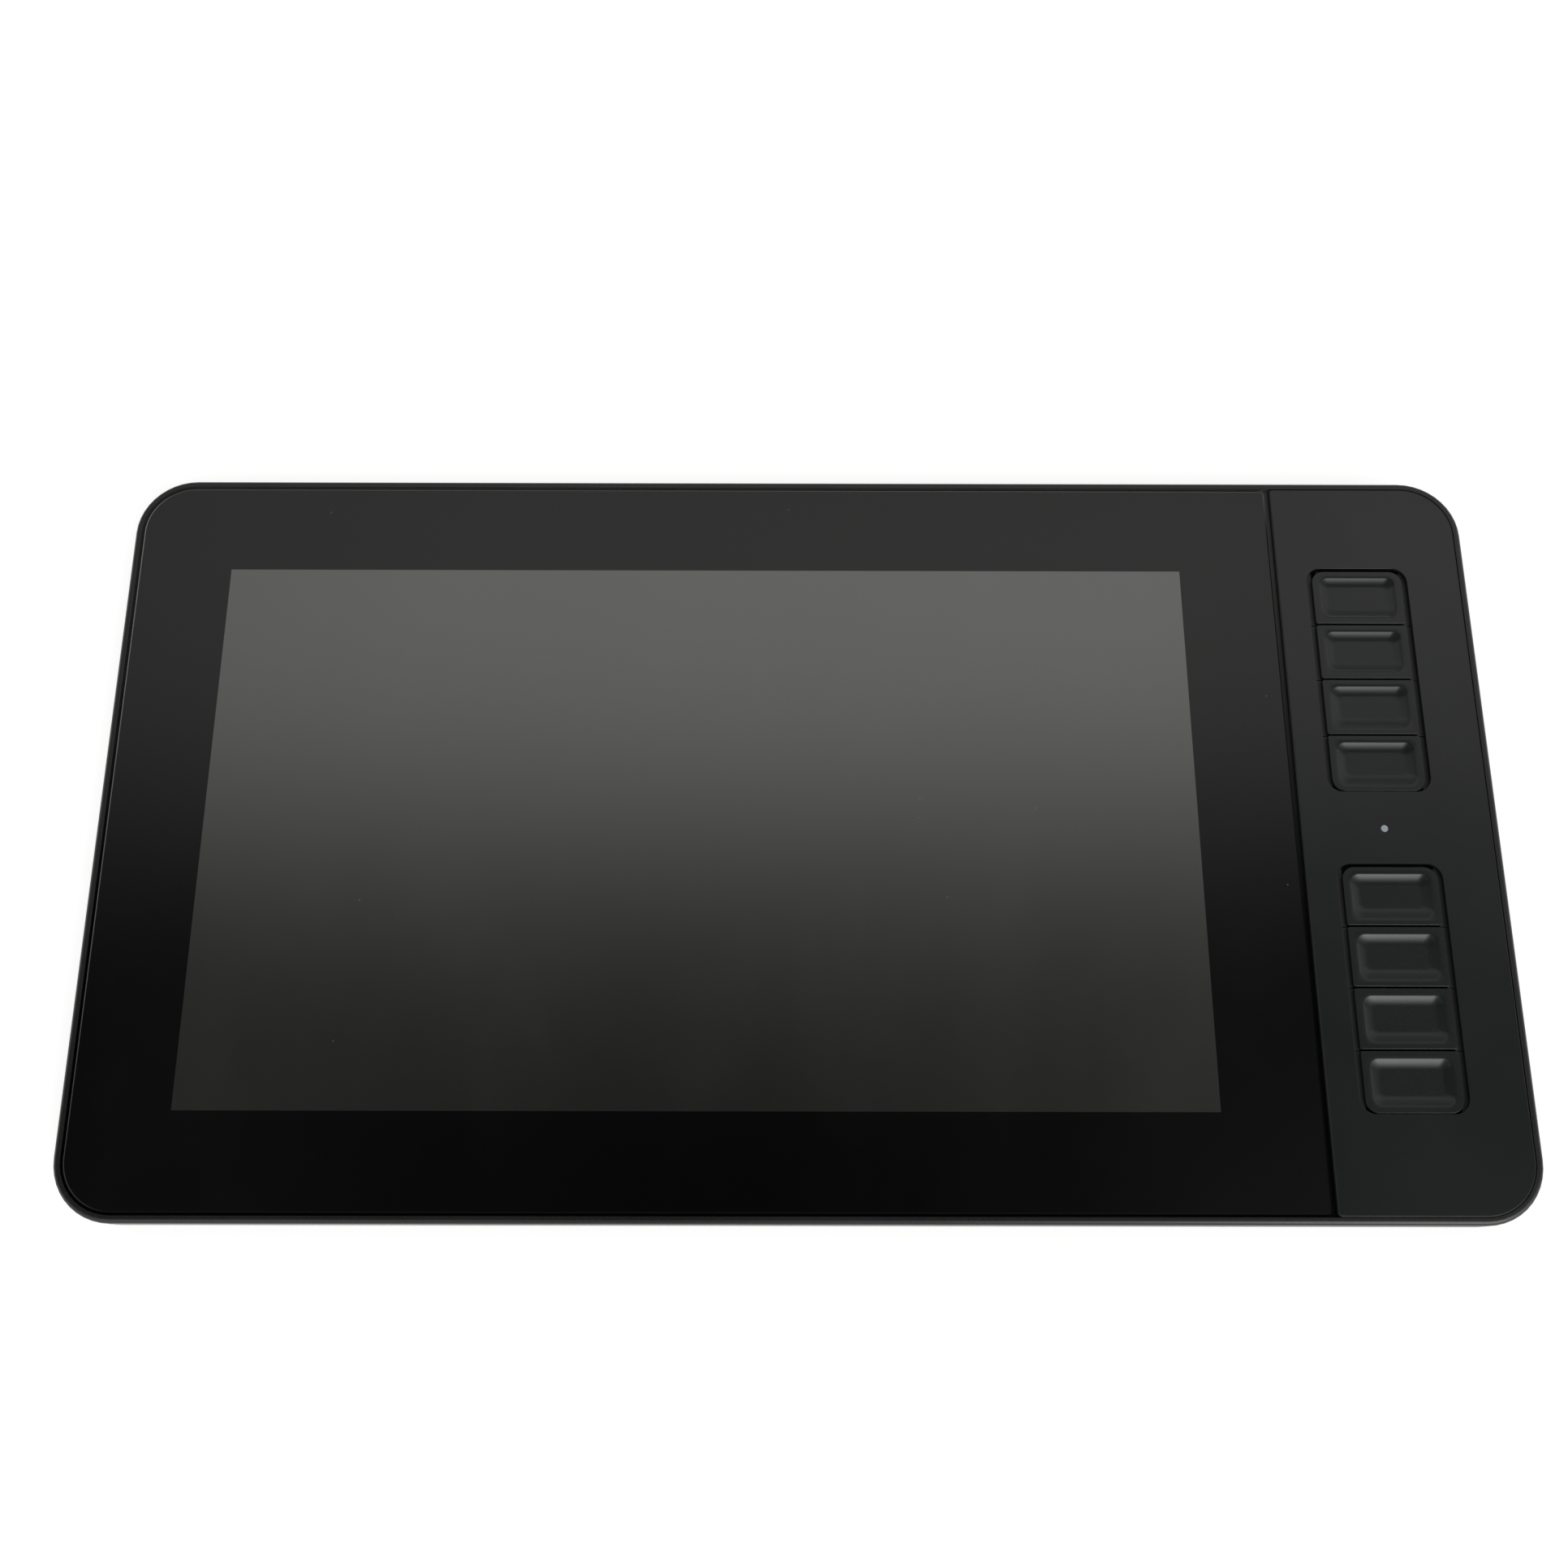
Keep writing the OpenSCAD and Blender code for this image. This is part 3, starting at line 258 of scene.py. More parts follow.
def plastic(name, colour, worn, roughness, grain, depth, specular=0.5, groove=None):
    """Moulded plastic: a spark-eroded grain, faint cloudy tone and a few handled, shinier places.

    A groove is the low corner, the high corner, the radius of its corners and the height under which the
    plastic is painted dark, with less sheen: painted shade in the groove under the glass and the key panel.
    The painted shade turns paler towards the far side, and the far wall is painted pale as painted light.
    """
    s = Shader(name)
    s.set(ior=1.5, specular=specular)
    cloud = s.noise(26, 3, 0.55)
    speck = s.noise(grain, 2, 0.6)
    tone = s.math("ADD", s.math("MULTIPLY", cloud, 0.75), s.math("MULTIPLY", speck, 0.25))
    finish = s.mix(s.remap(tone, 0.36, 0.66, 0, 1), colour, worn)
    rough = s.remap(s.noise(60, 2, 0.5), 0.3, 0.7, roughness - 0.03, roughness + 0.03)
    rough = s.math("ADD", rough, s.remap(speck, 0.3, 0.7, -0.03, 0.03))
    # Painted shade: under a height, the plastic in the groove is painted dark and given less sheen.
    if groove:
        low, high, corner, level = groove
        painted_shade = s.remap(s.axis("Z"), (level - SHADE_FADE) * MM, level * MM, 1, 0)
        squares = []
        for name_of_axis, least, most in (("X", low.x, high.x), ("Y", low.y, high.y)):
            offset = s.math("ABSOLUTE", s.math("SUBTRACT", s.axis(name_of_axis), (least + most) / 2 * MM))
            past = s.math("MAXIMUM", s.math("SUBTRACT", offset, ((most - least) / 2 - corner) * MM), 0)
            squares.append(s.math("MULTIPLY", past, past))
        reach = s.math("SQRT", s.math("ADD", *squares))
        painted_shade = s.math("MULTIPLY", painted_shade, s.math("LESS_THAN", reach, corner * MM))
        back = s.axis("Y")
        # Painted light: the painted shade turns paler towards the far side, and the far wall is painted
        # pale.
        painted_light_fade = s.remap(back, (low.y + SHADE_BLACK_D) * MM, high.y * MM, 0, 1, True)
        painted_shade_tone = s.mix(painted_light_fade, linear(4, 4, 4), linear(64, 64, 63))
        far_wall = s.math("GREATER_THAN", back, (high.y - PAINTED_LIGHT_WALL_T) * MM)
        finish = s.mix(painted_shade, finish, s.mix(far_wall, painted_shade_tone, linear(72, 72, 71)))
        s.link(s.remap(painted_shade, 0, 1, specular, SHADE_SPECULAR), s.surface.inputs["Specular IOR Level"])
    s.paint(finish)
    s.gloss(rough)
    s.relief(s.math("ADD", speck, s.noise(grain * 0.4, 1, 0.5)), depth, 0.6)
    return s.material


def etched_glass(name, colour, worn, roughness, index):
    """Glass with a fine etched face, faint wiping marks and a few grains of dust."""
    s = Shader(name)
    s.set(ior=index)
    smear = s.noise(34, 4, 0.6, s.stretched(1.0, 0.45, 1.0))
    film = s.remap(smear, 0.45, 0.75, 0, 1, True)
    dust = s.remap(s.cells(7.5), 0.02, 0.035, 1, 0)
    fleck = s.math("MULTIPLY", dust, s.remap(s.noise(19, 1), 0.56, 0.6, 0, 0.8))
    clean = s.mix(film, colour, worn)
    s.paint(s.mix(fleck, clean, linear(70, 70, 68)))
    s.gloss(s.math("ADD", s.remap(smear, 0.35, 0.7, roughness - 0.012, roughness + 0.012),
                   s.math("MULTIPLY", fleck, 0.3)))
    s.relief(s.noise(0.12, 2, 0.7), 0.002, 0.5)
    return s.material


def ground_edge(name):
    """The ground edge of the glass: blackened, but painted pale as painted light along the left and the far
    side; on the left it also has a higher index, so that it mirrors more.
    """
    painted_light_near_share = 0.12
    painted_light_far_share = 0.45
    far_strip = 1
    dark_index = 1.14
    painted_light_index = 1.5
    s = Shader(name)
    s.set(specular=0.25)
    left = s.remap(s.axis("X"), GLASS_LOW.x * MM, (GLASS_LOW.x + PLATE_CORNER) * MM, 1, 0, True)
    far = s.remap(s.axis("Y"), GLASS_LOW.y * MM, GLASS_HIGH.y * MM, painted_light_near_share, 1)
    far_start = (GLASS_HIGH.y - PLATE_CORNER) * MM
    painted_far_light = s.remap(s.axis("Y"), far_start, (GLASS_HIGH.y - far_strip) * MM, 0, painted_light_far_share)
    painted_light_weight = s.math("MAXIMUM", s.math("MULTIPLY", left, far), painted_far_light)
    # The index rises with the painted light on the left, so that part mirrors more.
    s.link(s.remap(left, 0, 1, dark_index, painted_light_index), s.surface.inputs["IOR"])
    grain = s.noise(0.3, 3, 0.6)
    dark = s.mix(grain, linear(11, 11, 11), linear(15, 15, 15))
    # Painted light: the pale tone stands for light along the left and the far side of the edge.
    pale = s.mix(grain, linear(104, 104, 103), linear(116, 116, 115))
    s.paint(s.mix(painted_light_weight, dark, pale))
    s.gloss(s.remap(grain, 0.3, 0.7, 0.2, 0.28))
    s.relief(grain, 0.004, 0.5)
    return s.material


def rubber(name):
    s = Shader(name)
    s.set(ior=1.5, specular=0.35)
    dusty = s.noise(3.2, 4, 0.65)
    s.paint(s.mix(s.remap(dusty, 0.5, 0.75, 0, 1), linear(26, 26, 27), linear(52, 51, 49)))
    s.gloss(s.remap(dusty, 0.3, 0.7, 0.72, 0.9))
    s.relief(s.noise(0.35, 3, 0.6), 0.03, 0.7)
    return s.material


def sheet_metal(name, colour, dull, roughness, stretch):
    """Rolled or plated metal with fine lines along one axis and a few dull stains."""
    s = Shader(name)
    s.set(metallic=1.0)
    lines = s.noise(0.25, 2, 0.6, s.stretched(*stretch))
    stain = s.noise(9, 4, 0.6)
    s.paint(s.mix(s.remap(stain, 0.45, 0.7, 0, 1), colour, dull))
    s.gloss(s.math("ADD", s.remap(stain, 0.3, 0.7, roughness - 0.05, roughness + 0.08),
                   s.remap(lines, 0.3, 0.7, -0.05, 0.05)))
    s.relief(lines, 0.004, 0.5)
    return s.material


def socket_metal(name, node):
    """A plated socket shell whose tongue, behind the mouth, is dark plastic with bright contacts."""
    tongue_half = 0.36
    mouth_depth = 0.75
    shell_side = 1.0
    contact_pitch = 0.5
    s = Shader(name)
    low, high = span(node)
    middle = (low.z + high.z) / 2 * MM
    inner = s.math("COMPARE", s.axis("Z"), middle)
    inner.node.inputs[2].default_value = tongue_half * MM
    deep = s.math("LESS_THAN", s.axis("Y"), (high.y - mouth_depth) * MM)
    clear_low = s.math("GREATER_THAN", s.axis("X"), (low.x + shell_side) * MM)
    clear_high = s.math("LESS_THAN", s.axis("X"), (high.x - shell_side) * MM)
    inside = s.math("MULTIPLY", inner, deep)
    tongue = s.math("MULTIPLY", inside, s.math("MULTIPLY", clear_low, clear_high))
    stripe = s.math("FRACT", s.math("MULTIPLY", s.axis("X"), 1 / (contact_pitch * MM)))
    contact = s.math("MULTIPLY", tongue, s.math("LESS_THAN", stripe, 0.5))
    stain = s.noise(2.2, 3, 0.6)
    shell = s.mix(s.remap(stain, 0.4, 0.7, 0, 1), linear(196, 196, 194), linear(160, 160, 158))
    s.paint(s.mix(contact, s.mix(tongue, shell, linear(24, 24, 25)), linear(205, 170, 96)))
    plated = s.math("SUBTRACT", 1.0, s.math("SUBTRACT", tongue, contact))
    s.link(plated, s.surface.inputs["Metallic"])
    s.gloss(s.remap(stain, 0.3, 0.7, 0.24, 0.38))
    s.relief(s.noise(0.3, 2, 0.6, s.stretched(1, 0.15, 1)), 0.004, 0.4)
    return s.material


def circuit_board(name, colour, worn, over_trace):
    """Solder mask over copper: traces as slightly raised lines, plated holes as small pale dots."""
    s = Shader(name)
    s.set(ior=1.5)
    net = s.add("ShaderNodeTexBrick", offset=0.37, offset_frequency=3, squash=0.55, squash_frequency=2)
    s.link(s.coordinates, net.inputs["Vector"])
    for key, value in (("Scale", 1 / MM), ("Mortar Size", 0.16), ("Mortar Smooth", 0.4),
                       ("Brick Width", 5.5), ("Row Height", 1.3)):
        net.inputs[key].default_value = value
    trace = net.outputs["Fac"]
    hole = s.remap(s.cells(3.4), 0.1, 0.13, 1, 0)
    mask = s.mix(s.remap(s.noise(14, 3), 0.35, 0.65, 0, 1), colour, worn)
    s.paint(s.mix(hole, s.mix(trace, mask, over_trace), linear(150, 128, 84)))
    s.gloss(s.remap(s.noise(1.5, 2), 0.3, 0.7, 0.28, 0.4))
    s.relief(s.math("MAXIMUM", trace, hole), 0.03, 0.6)
    return s.material


def ribbon_film(name):
    """Amber film with parallel conductors that run along the ribbon."""
    conductor_pitch = 0.8
    s = Shader(name)
    s.set(ior=1.55, coat_weight=0.3)
    line = s.math("FRACT", s.math("MULTIPLY", s.axis("Y"), 1 / (conductor_pitch * MM)))
    conductor = s.math("LESS_THAN", line, 0.5)
    film = s.mix(s.noise(6, 3), linear(166, 110, 34), linear(184, 128, 46))
    s.paint(s.mix(conductor, film, linear(198, 150, 84)))
    s.gloss(s.remap(s.noise(2, 2), 0.3, 0.7, 0.3, 0.45))
    s.relief(conductor, 0.02, 0.5)
    return s.material


def chip_package(name):
    """Moulded epoxy with a fine matte grain."""
    s = Shader(name)
    s.set(ior=1.55)
    grain = s.noise(0.22, 3, 0.65)
    s.paint(s.mix(s.remap(grain, 0.3, 0.7, 0, 1), linear(23, 23, 25), linear(37, 37, 39)))
    s.gloss(s.remap(s.noise(3, 2), 0.3, 0.7, 0.5, 0.62))
    s.relief(grain, 0.015, 0.6)
    return s.material


def milky(name, colour, shade, roughness, scatter):
    """Pale diffusing plastic or film, lit through from within."""
    s = Shader(name)
    s.set(ior=1.49, subsurface_weight=scatter, subsurface_scale=0.0008)
    s.paint(s.mix(s.remap(s.noise(5, 3), 0.35, 0.65, 0, 1), colour, shade))
    s.gloss(s.remap(s.noise(1.2, 2), 0.3, 0.7, roughness - 0.05, roughness + 0.05))
    s.relief(s.noise(0.3, 2), 0.006, 0.4)
    return s.material


def clear_guide(name):
    """Acrylic light guide with a printed pattern of small white dots."""
    s = Shader(name)
    s.set(ior=1.49, transmission_weight=0.55)
    dot = s.remap(s.cells(1.1, randomness=0.0), 0.22, 0.27, 1, 0)
    s.paint(s.mix(dot, linear(222, 230, 232), linear(250, 250, 248)))
    s.gloss(s.remap(dot, 0, 1, 0.08, 0.6))
    s.relief(dot, 0.01, 0.5)
    return s.material


def foam(name):
    s = Shader(name)
    s.set(ior=1.4, specular=0.2)
    cell = s.cells(0.45)
    s.paint(s.mix(s.remap(cell, 0.1, 0.6, 0, 1), linear(16, 16, 16), linear(46, 46, 47)))
    s.gloss(s.remap(cell, 0.1, 0.6, 0.95, 0.8))
    s.relief(cell, 0.12, 0.8)
    return s.material


def screen_cell(name):
    """Switched-off screen cell under its dull film, with a faint grid of picture dots."""
    dot_pitch = 0.133
    line_share = 0.16
    s = Shader(name)
    s.set(ior=1.5)
    grid = s.math("FRACT", s.math("MULTIPLY", s.axis("X"), 1 / (dot_pitch * MM)))
    line = s.math("LESS_THAN", grid, line_share)
    film = s.mix(s.noise(40, 2), linear(30, 31, 31), linear(36, 37, 36))
    s.paint(s.mix(line, film, linear(14, 14, 14)))
    s.gloss(s.remap(s.noise(30, 3), 0.3, 0.7, 0.32, 0.4))
    s.relief(s.noise(0.15, 2), 0.002, 0.5)
    return s.material


FRAME_LOW, FRAME_HIGH = span("front_frame")
RIM = Vector((RIM_T, RIM_T, 0)) * RIM_SHARE
CASE = plastic("case_plastic", linear(18, 18, 19), linear(23, 23, 24), 0.3, 0.5, 0.012)
# The frame's plastic carries painted shade in the groove and painted light on the groove's far wall.
FRAME = plastic("frame_plastic", linear(18, 18, 19), linear(23, 23, 24), 0.3, 0.5, 0.012,
                groove=(FRAME_LOW + RIM, FRAME_HIGH - RIM, CASE_CORNER - RIM.x, TOP - SHADE_BELOW_TOP))
PANEL = plastic("panel_plastic", linear(18, 19, 20), linear(22, 23, 24), 0.21, 0.42, 0.006)
KEYCAP = plastic("key_plastic", linear(21, 22, 23), linear(25, 26, 27), 0.23, 0.42, 0.006, specular=0.42)
# Painted light: the panel's outer edge is painted paler than the panel plastic, with less sheen, to stand
# for light on its wall in the seam.
PAINTED_LIGHT_PANEL_EDGE = plastic("panel_edge_painted_light", linear(24, 25, 26), linear(28, 29, 30), 0.42, 0.42, 0.006,
                     specular=0.3)
# Painted light: the flanges are painted paler than the key plastic they are moulded with, to stand for light
# in the moat beside the keys.
PAINTED_LIGHT_FLANGE = plastic("key_flange_painted_light", linear(32, 32, 32), linear(36, 36, 36), 0.35, 0.42, 0.006, specular=0.4)
BORDER = etched_glass("glass_border", linear(4, 4, 5), linear(6, 6, 6), 0.13, 1.5)
WINDOW = etched_glass("glass_window", linear(17, 17, 16), linear(20, 20, 19), 0.17, 2.4)
GROUND = ground_edge("ground_edge")
RUBBER = rubber("foot_rubber")
SCREW = sheet_metal("screw_steel", linear(92, 92, 94), linear(58, 58, 60), 0.36, (1, 1, 0.2))
STEEL = sheet_metal("steel_sheet", linear(186, 187, 188), linear(150, 151, 152), 0.34, (0.05, 1, 1))
BOARD = circuit_board("circuit_board", linear(14, 62, 40), linear(18, 74, 47), linear(34, 104, 66))
BLACK_BOARD = circuit_board("black_board", linear(13, 13, 14), linear(17, 17, 18), linear(28, 28, 29))
RIBBON = ribbon_film("ribbon_film")
CHIP = chip_package("chip_package")
WHITE = milky("white_plastic", linear(228, 228, 225), linear(214, 214, 210), 0.45, 0.0)
PIPE = milky("light_pipe", linear(158, 163, 168), linear(142, 147, 152), 0.3, 0.4)
GUIDE = clear_guide("light_guide")
FOAM = foam("foam")
CELL = screen_cell("screen_cell")
USB_METAL = socket_metal("usb_metal", "usb_port")
VIDEO_METAL = socket_metal("video_metal", "video_port")

FINISH = {
    "front_frame": FRAME, "rear_cover": CASE, "glass_tape": FOAM, "key_panel": PANEL,
    "light_pipe": PIPE, "key_switches": CHIP, "main_board": BLACK_BOARD, "board_chips": CHIP,
    "board_screws": SCREW, "indicator_led": WHITE, "usb_port": USB_METAL, "video_port": VIDEO_METAL,
    "lcd_gasket": FOAM, "lcd_cell": CELL, "panel_frame": WHITE, "diffuser_sheet": WHITE,
    "light_guide": GUIDE, "reflector_sheet": WHITE, "led_strip": WHITE, "backlight_tray": STEEL,
    "lcd_driver_board": BOARD, "lcd_cable": RIBBON, "digitizer_board": BOARD,
    "digitizer_cable": RIBBON, "shield_plate": STEEL, "button_board": BOARD,
    "button_cable": RIBBON, "side_switches": CHIP, "case_screws": SCREW, "cover_glass": BORDER,
}
for place in ("far_left", "far_right", "near_left", "near_right"):
    FINISH["foot_" + place] = RUBBER
for button in BUTTONS:
    FINISH[button + "_button"] = PANEL
    FINISH[button + "_button_stem"] = WHITE
for number in range(1, KEY_COUNT + 1):
    FINISH[f"key_{number}"] = KEYCAP
    FINISH[f"key_{number}_stem"] = WHITE
for node, finish in FINISH.items():
    for place in cad[node].material_slots:
        place.material = finish


# Meshes


def make_piece(name, b, materials, body, replaced, angle=30):
    """A smooth piece with sharp edges over an angle, which stands for a solid and rides its body."""
    mesh = bpy.data.meshes.new(name)
    mesh.from_pydata([Vector(p) * MM for p in b.points], [], b.faces)
    for finish in materials:
        mesh.materials.append(finish)
    mesh.polygons.foreach_set("material_index", b.indices)
    mesh.validate()
    mesh.shade_smooth()
    mesh.set_sharp_from_angle(angle=math.radians(angle))
    made = bpy.data.objects.new(name, mesh)
    bpy.context.scene.collection.objects.link(made)
    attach(made, body)
    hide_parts(replaced)


def rounded_box(x0, x1, y0, y1, radii, steps):
    """Counter-clockwise points of a rectangle with round corners.

    The radii are those of the right near, right far, left far and left near corners.
    """
    corners = ((x1, y0, -1, 1), (x1, y1, -1, -1), (x0, y1, 1, -1), (x0, y0, 1, 1))
    made = []
    for turn, ((x, y, sx, sy), r) in enumerate(zip(corners, radii)):
        for k in range(steps + 1):
            a = math.radians(90 * (turn - 1 + k / steps))
            made.append((x + sx * r + r * math.cos(a), y + sy * r + r * math.sin(a)))
    return made


def stadium(w, h, steps=12):
    """Counter-clockwise points of an outline with flat long sides and half-round ends."""
    made = []
    for side in (0, 1):
        middle = (w - h) / 2 * (1 - 2 * side)
        for k in range(steps + 1):
            a = math.pi * (side - 0.5 + k / steps)
            made.append((middle + h / 2 * math.cos(a), h / 2 * math.sin(a)))
    return made


def circle(x, y, r, steps=40):
    turns = [2 * math.pi * k / steps for k in range(steps)]
    return [(x + r * math.cos(a), y + r * math.sin(a)) for a in turns]


class Builder:
    """Collects the points and faces of a mesh from level rings."""

    def __init__(self):
        self.points = []
        self.faces = []
        self.indices = []

    def ring(self, outline, z):
        start = len(self.points)
        self.points.extend((x, y, z) for x, y in outline)
        return list(range(start, start + len(outline)))

    def face(self, corners, index=0):
        self.faces.append(tuple(corners))
        self.indices.append(index)

    def bridge(self, rings, index=0):
        """Quads from each ring to the next."""
        for a, b in zip(rings, rings[1:]):
            n = len(a)
            for i in range(n):
                j = (i + 1) % n
                self.face((a[i], a[j], b[j], b[i]), index)

    def fill(self, rings, index=0, down=False):
        """Triangles over a level outline with holes; the first ring is the outer one."""
        flat = [i for ring in rings for i in ring]
        loops = [[Vector((self.points[i][0], self.points[i][1], 0)) for i in ring] for ring in rings]
        for triangle in tessellate_polygon(loops):
            corners = [flat[i] for i in triangle]
            p, q, r = (self.points[i] for i in corners)
            turn = (q[0] - p[0]) * (r[1] - p[1]) - (q[1] - p[1]) * (r[0] - p[0])
            if (turn < 0) != down:
                corners.reverse()
            self.face(corners, index)

    def side(self, outline, z0, z1, edge, count=5, index=0):
        """A side from z0 up over a quarter-round edge to z1; outline(d) is the plan set in by d."""
        rings = [self.ring(outline(0), z0)]
        for k in range(count + 1):
            a = math.pi / 2 * k / count
            rings.append(self.ring(outline(edge * (1 - math.cos(a))), z1 - edge * (1 - math.sin(a))))
        rings.append(self.ring(outline(edge + FLAT_STRIP), z1))
        self.bridge(rings, index)
        return rings[0], rings[-1]

    def hole(self, outline, z0, z1, edge, count=5, index=0):
        """The wall of a hole with a quarter-round upper edge; outline(d) is the plan grown by d."""
        rings = [self.ring(outline(edge + FLAT_STRIP), z1)]
        for k in range(count + 1):
            a = math.pi / 2 * k / count
            rings.append(self.ring(outline(edge * (1 - math.sin(a))), z1 - edge * (1 - math.cos(a))))
        rings.append(self.ring(outline(0), z0))
        self.bridge(rings, index)
        return rings[-1], rings[0]

    def block(self, outline, z0, z1, edge, index=0):
        """A closed form with a quarter-round upper edge."""
        bottom, top = self.side(outline, z0, z1, edge, 4, index)
        self.fill([bottom], index, True)
        self.fill([top], index)


def box_outline(low, high, radii, steps):
    """The plan of a plate as a function of the distance that it is set in."""
    def outline(d):
        set_in = [r - d for r in radii]
        return rounded_box(low.x + d, high.x - d, low.y + d, high.y - d, set_in, steps)
    return outline


def glass_plate():
    """The glass: a ground edge, the printed border and the picture window as separate faces."""
    b = Builder()
    radii = (SEAM_CORNER, SEAM_CORNER, PLATE_CORNER, PLATE_CORNER)
    plan = box_outline(GLASS_LOW, GLASS_HIGH, radii, PLATE_STEPS)
    bottom, top = b.side(plan, GLASS_LOW.z, TOP, PLATE_EDGE, 6, 2)
    b.fill([bottom], 0, True)
    half_w, half_d = SCREEN_W / 2, SCREEN_D / 2
    corners = ((1, -1), (1, 1), (-1, 1), (-1, -1))
    window = b.ring([(SCREEN_X + sx * half_w, sy * half_d) for sx, sy in corners], TOP)
    b.fill([top, window], 0)
    b.face(window, 1)
    make_piece("glass_plate", b, [BORDER, WINDOW, GROUND], "case", "cover_glass")


def panel_plate():
    """The key panel: a soft outer edge, two key windows with rolled edges and the indicator's hole."""
    b = Builder()
    corner = PLATE_CORNER + PANEL_FIT
    low = PANEL_LOW - Vector((0, PANEL_FIT, 0))
    high = PANEL_HIGH + Vector((PANEL_FIT, PANEL_FIT, 0))
    plan = box_outline(low, high, (corner, corner, SEAM_CORNER, SEAM_CORNER), PLATE_STEPS)
    # The outer edge takes the paler plastic, which is painted light on its wall in the seam.
    rims = [b.side(plan, PANEL_LOW.z, TOP, PLATE_EDGE, index=1)]
    for first in (1, 1 + KEYS_PER_GROUP):
        near_y = span(f"key_{first + KEYS_PER_GROUP - 1}")[0].y - WINDOW_NEAR_GAP
        far_y = span(f"key_{first}")[1].y + WINDOW_FAR_GAP
        low = Vector((KEY_X - WINDOW_W / 2, near_y, 0))
        high = Vector((KEY_X + WINDOW_W / 2, far_y, 0))
        plan = box_outline(low, high, (WINDOW_R,) * 4, 12)
        rims.append(b.hole(lambda grown: plan(-grown), PANEL_LOW.z, TOP, WINDOW_EDGE, HOLE_STEPS))

    def indicator(grown):
        return circle(KEY_X, 0, INDICATOR_HOLE_R + grown)

    rims.append(b.hole(indicator, PANEL_LOW.z, TOP, INDICATOR_EDGE, HOLE_STEPS))
    b.fill([rim[0] for rim in rims], 0, True)
    b.fill([rim[1] for rim in rims], 0)
    make_piece("panel_plate", b, [PANEL, PAINTED_LIGHT_PANEL_EDGE], "case", "key_panel")


def key_cap(number):
    """A dished key: upright sides, a flat ledge, a hollow for the finger and flanges under the panel."""
    node = f"key_{number}"
    low, high = span(node)
    row = (number - 1) % KEYS_PER_GROUP
    near_r = KEY_OUTER_R if row == KEYS_PER_GROUP - 1 else KEY_INNER_R
    far_r = KEY_OUTER_R if row == 0 else KEY_INNER_R
    half_w = KEY_W / 2
    flange_z = low.z + KEY_POST
    b = Builder()

    def plan(d):
        on_ledge = min(d / KEY_LEDGE, 1)
        shrink = (KEY_FLOOR_R - KEY_DISH_R) * max(d - KEY_LEDGE, 0) / KEY_SLOPE_W
        near, far = (r + (KEY_DISH_R - r) * on_ledge + shrink for r in (near_r, far_r))
        return rounded_box(KEY_X - half_w + d, KEY_X + half_w - d, low.y + d, high.y - d,
                           (near, far, far, near), 10)

    bottom, rim = b.side(plan, flange_z, high.z, KEY_EDGE, 4)
    b.fill([bottom], 0, True)
    rings = [rim, b.ring(plan(KEY_LEDGE / 2), high.z), b.ring(plan(KEY_LEDGE - KEY_EDGE), high.z)]
    for k in range(1, DISH_LEVELS + 1):
        u = k / DISH_LEVELS
        rings.append(b.ring(plan(KEY_LEDGE + KEY_SLOPE_W * u), high.z - KEY_DISH * (1 - (1 - u) ** 2)))
    b.bridge(rings)
    b.fill([rings[-1]])
    for side in (-1, 1):
        ends = sorted((KEY_X + side * (half_w - FLANGE_JOIN), KEY_X + side * (half_w + KEY_FLANGE_REACH)))
        tab_low = Vector((ends[0], low.y + KEY_FLANGE_INSET, 0))
        tab_high = Vector((ends[1], high.y - KEY_FLANGE_INSET, 0))
        tab = box_outline(tab_low, tab_high, (FLANGE_CORNER,) * 4, 3)
        # The flanges take the paler plastic, which is painted light in the moat.
        b.block(tab, flange_z, flange_z + KEY_FLANGE_T, FLANGE_EDGE, 1)

    def post(d):
        return circle(KEY_X, (low.y + high.y) / 2, KEY_POST_R - d, POST_STEPS)

    b.block(post, low.z, flange_z + POST_JOIN, POST_EDGE)
    make_piece(f"key_cap_{number}", b, [KEYCAP, PAINTED_LIGHT_FLANGE], node, node, 40)


def edge_button(name):
    """An edge button: a cap with a round edge, the flange behind the wall and the nub on its switch."""
    low, high = span(name)
    middle = (low + high) / 2
    wall = FRAME_HIGH.y - RIM_T - FLANGE_PLAY
    w, h = high.x - low.x, high.z - low.z
    lap = 2 * BUTTON_LAP
    b = Builder()
    inner = wall - KEY_FLANGE_T
    b.block(lambda d: stadium(w - lap - 2 * d, h - lap - 2 * d), wall - FLANGE_JOIN, high.y, BUTTON_EDGE)
    b.block(lambda d: stadium(w - 2 * d, h - 2 * d), inner, wall, BUTTON_FLANGE_EDGE)
    b.block(lambda d: circle(0, 0, BUTTON_NUB_R - d, POST_STEPS), low.y, inner + FLANGE_JOIN, POST_EDGE)
    b.points = [(middle.x - u, reach, middle.z + v) for u, v, reach in b.points]
    make_piece(f"{name}_cap", b, [PANEL], name, name)


glass_plate()
panel_plate()
for number in range(1, KEY_COUNT + 1):
    key_cap(number)
for button in BUTTONS:
    edge_button(f"{button}_button")


# Stage, light and camera


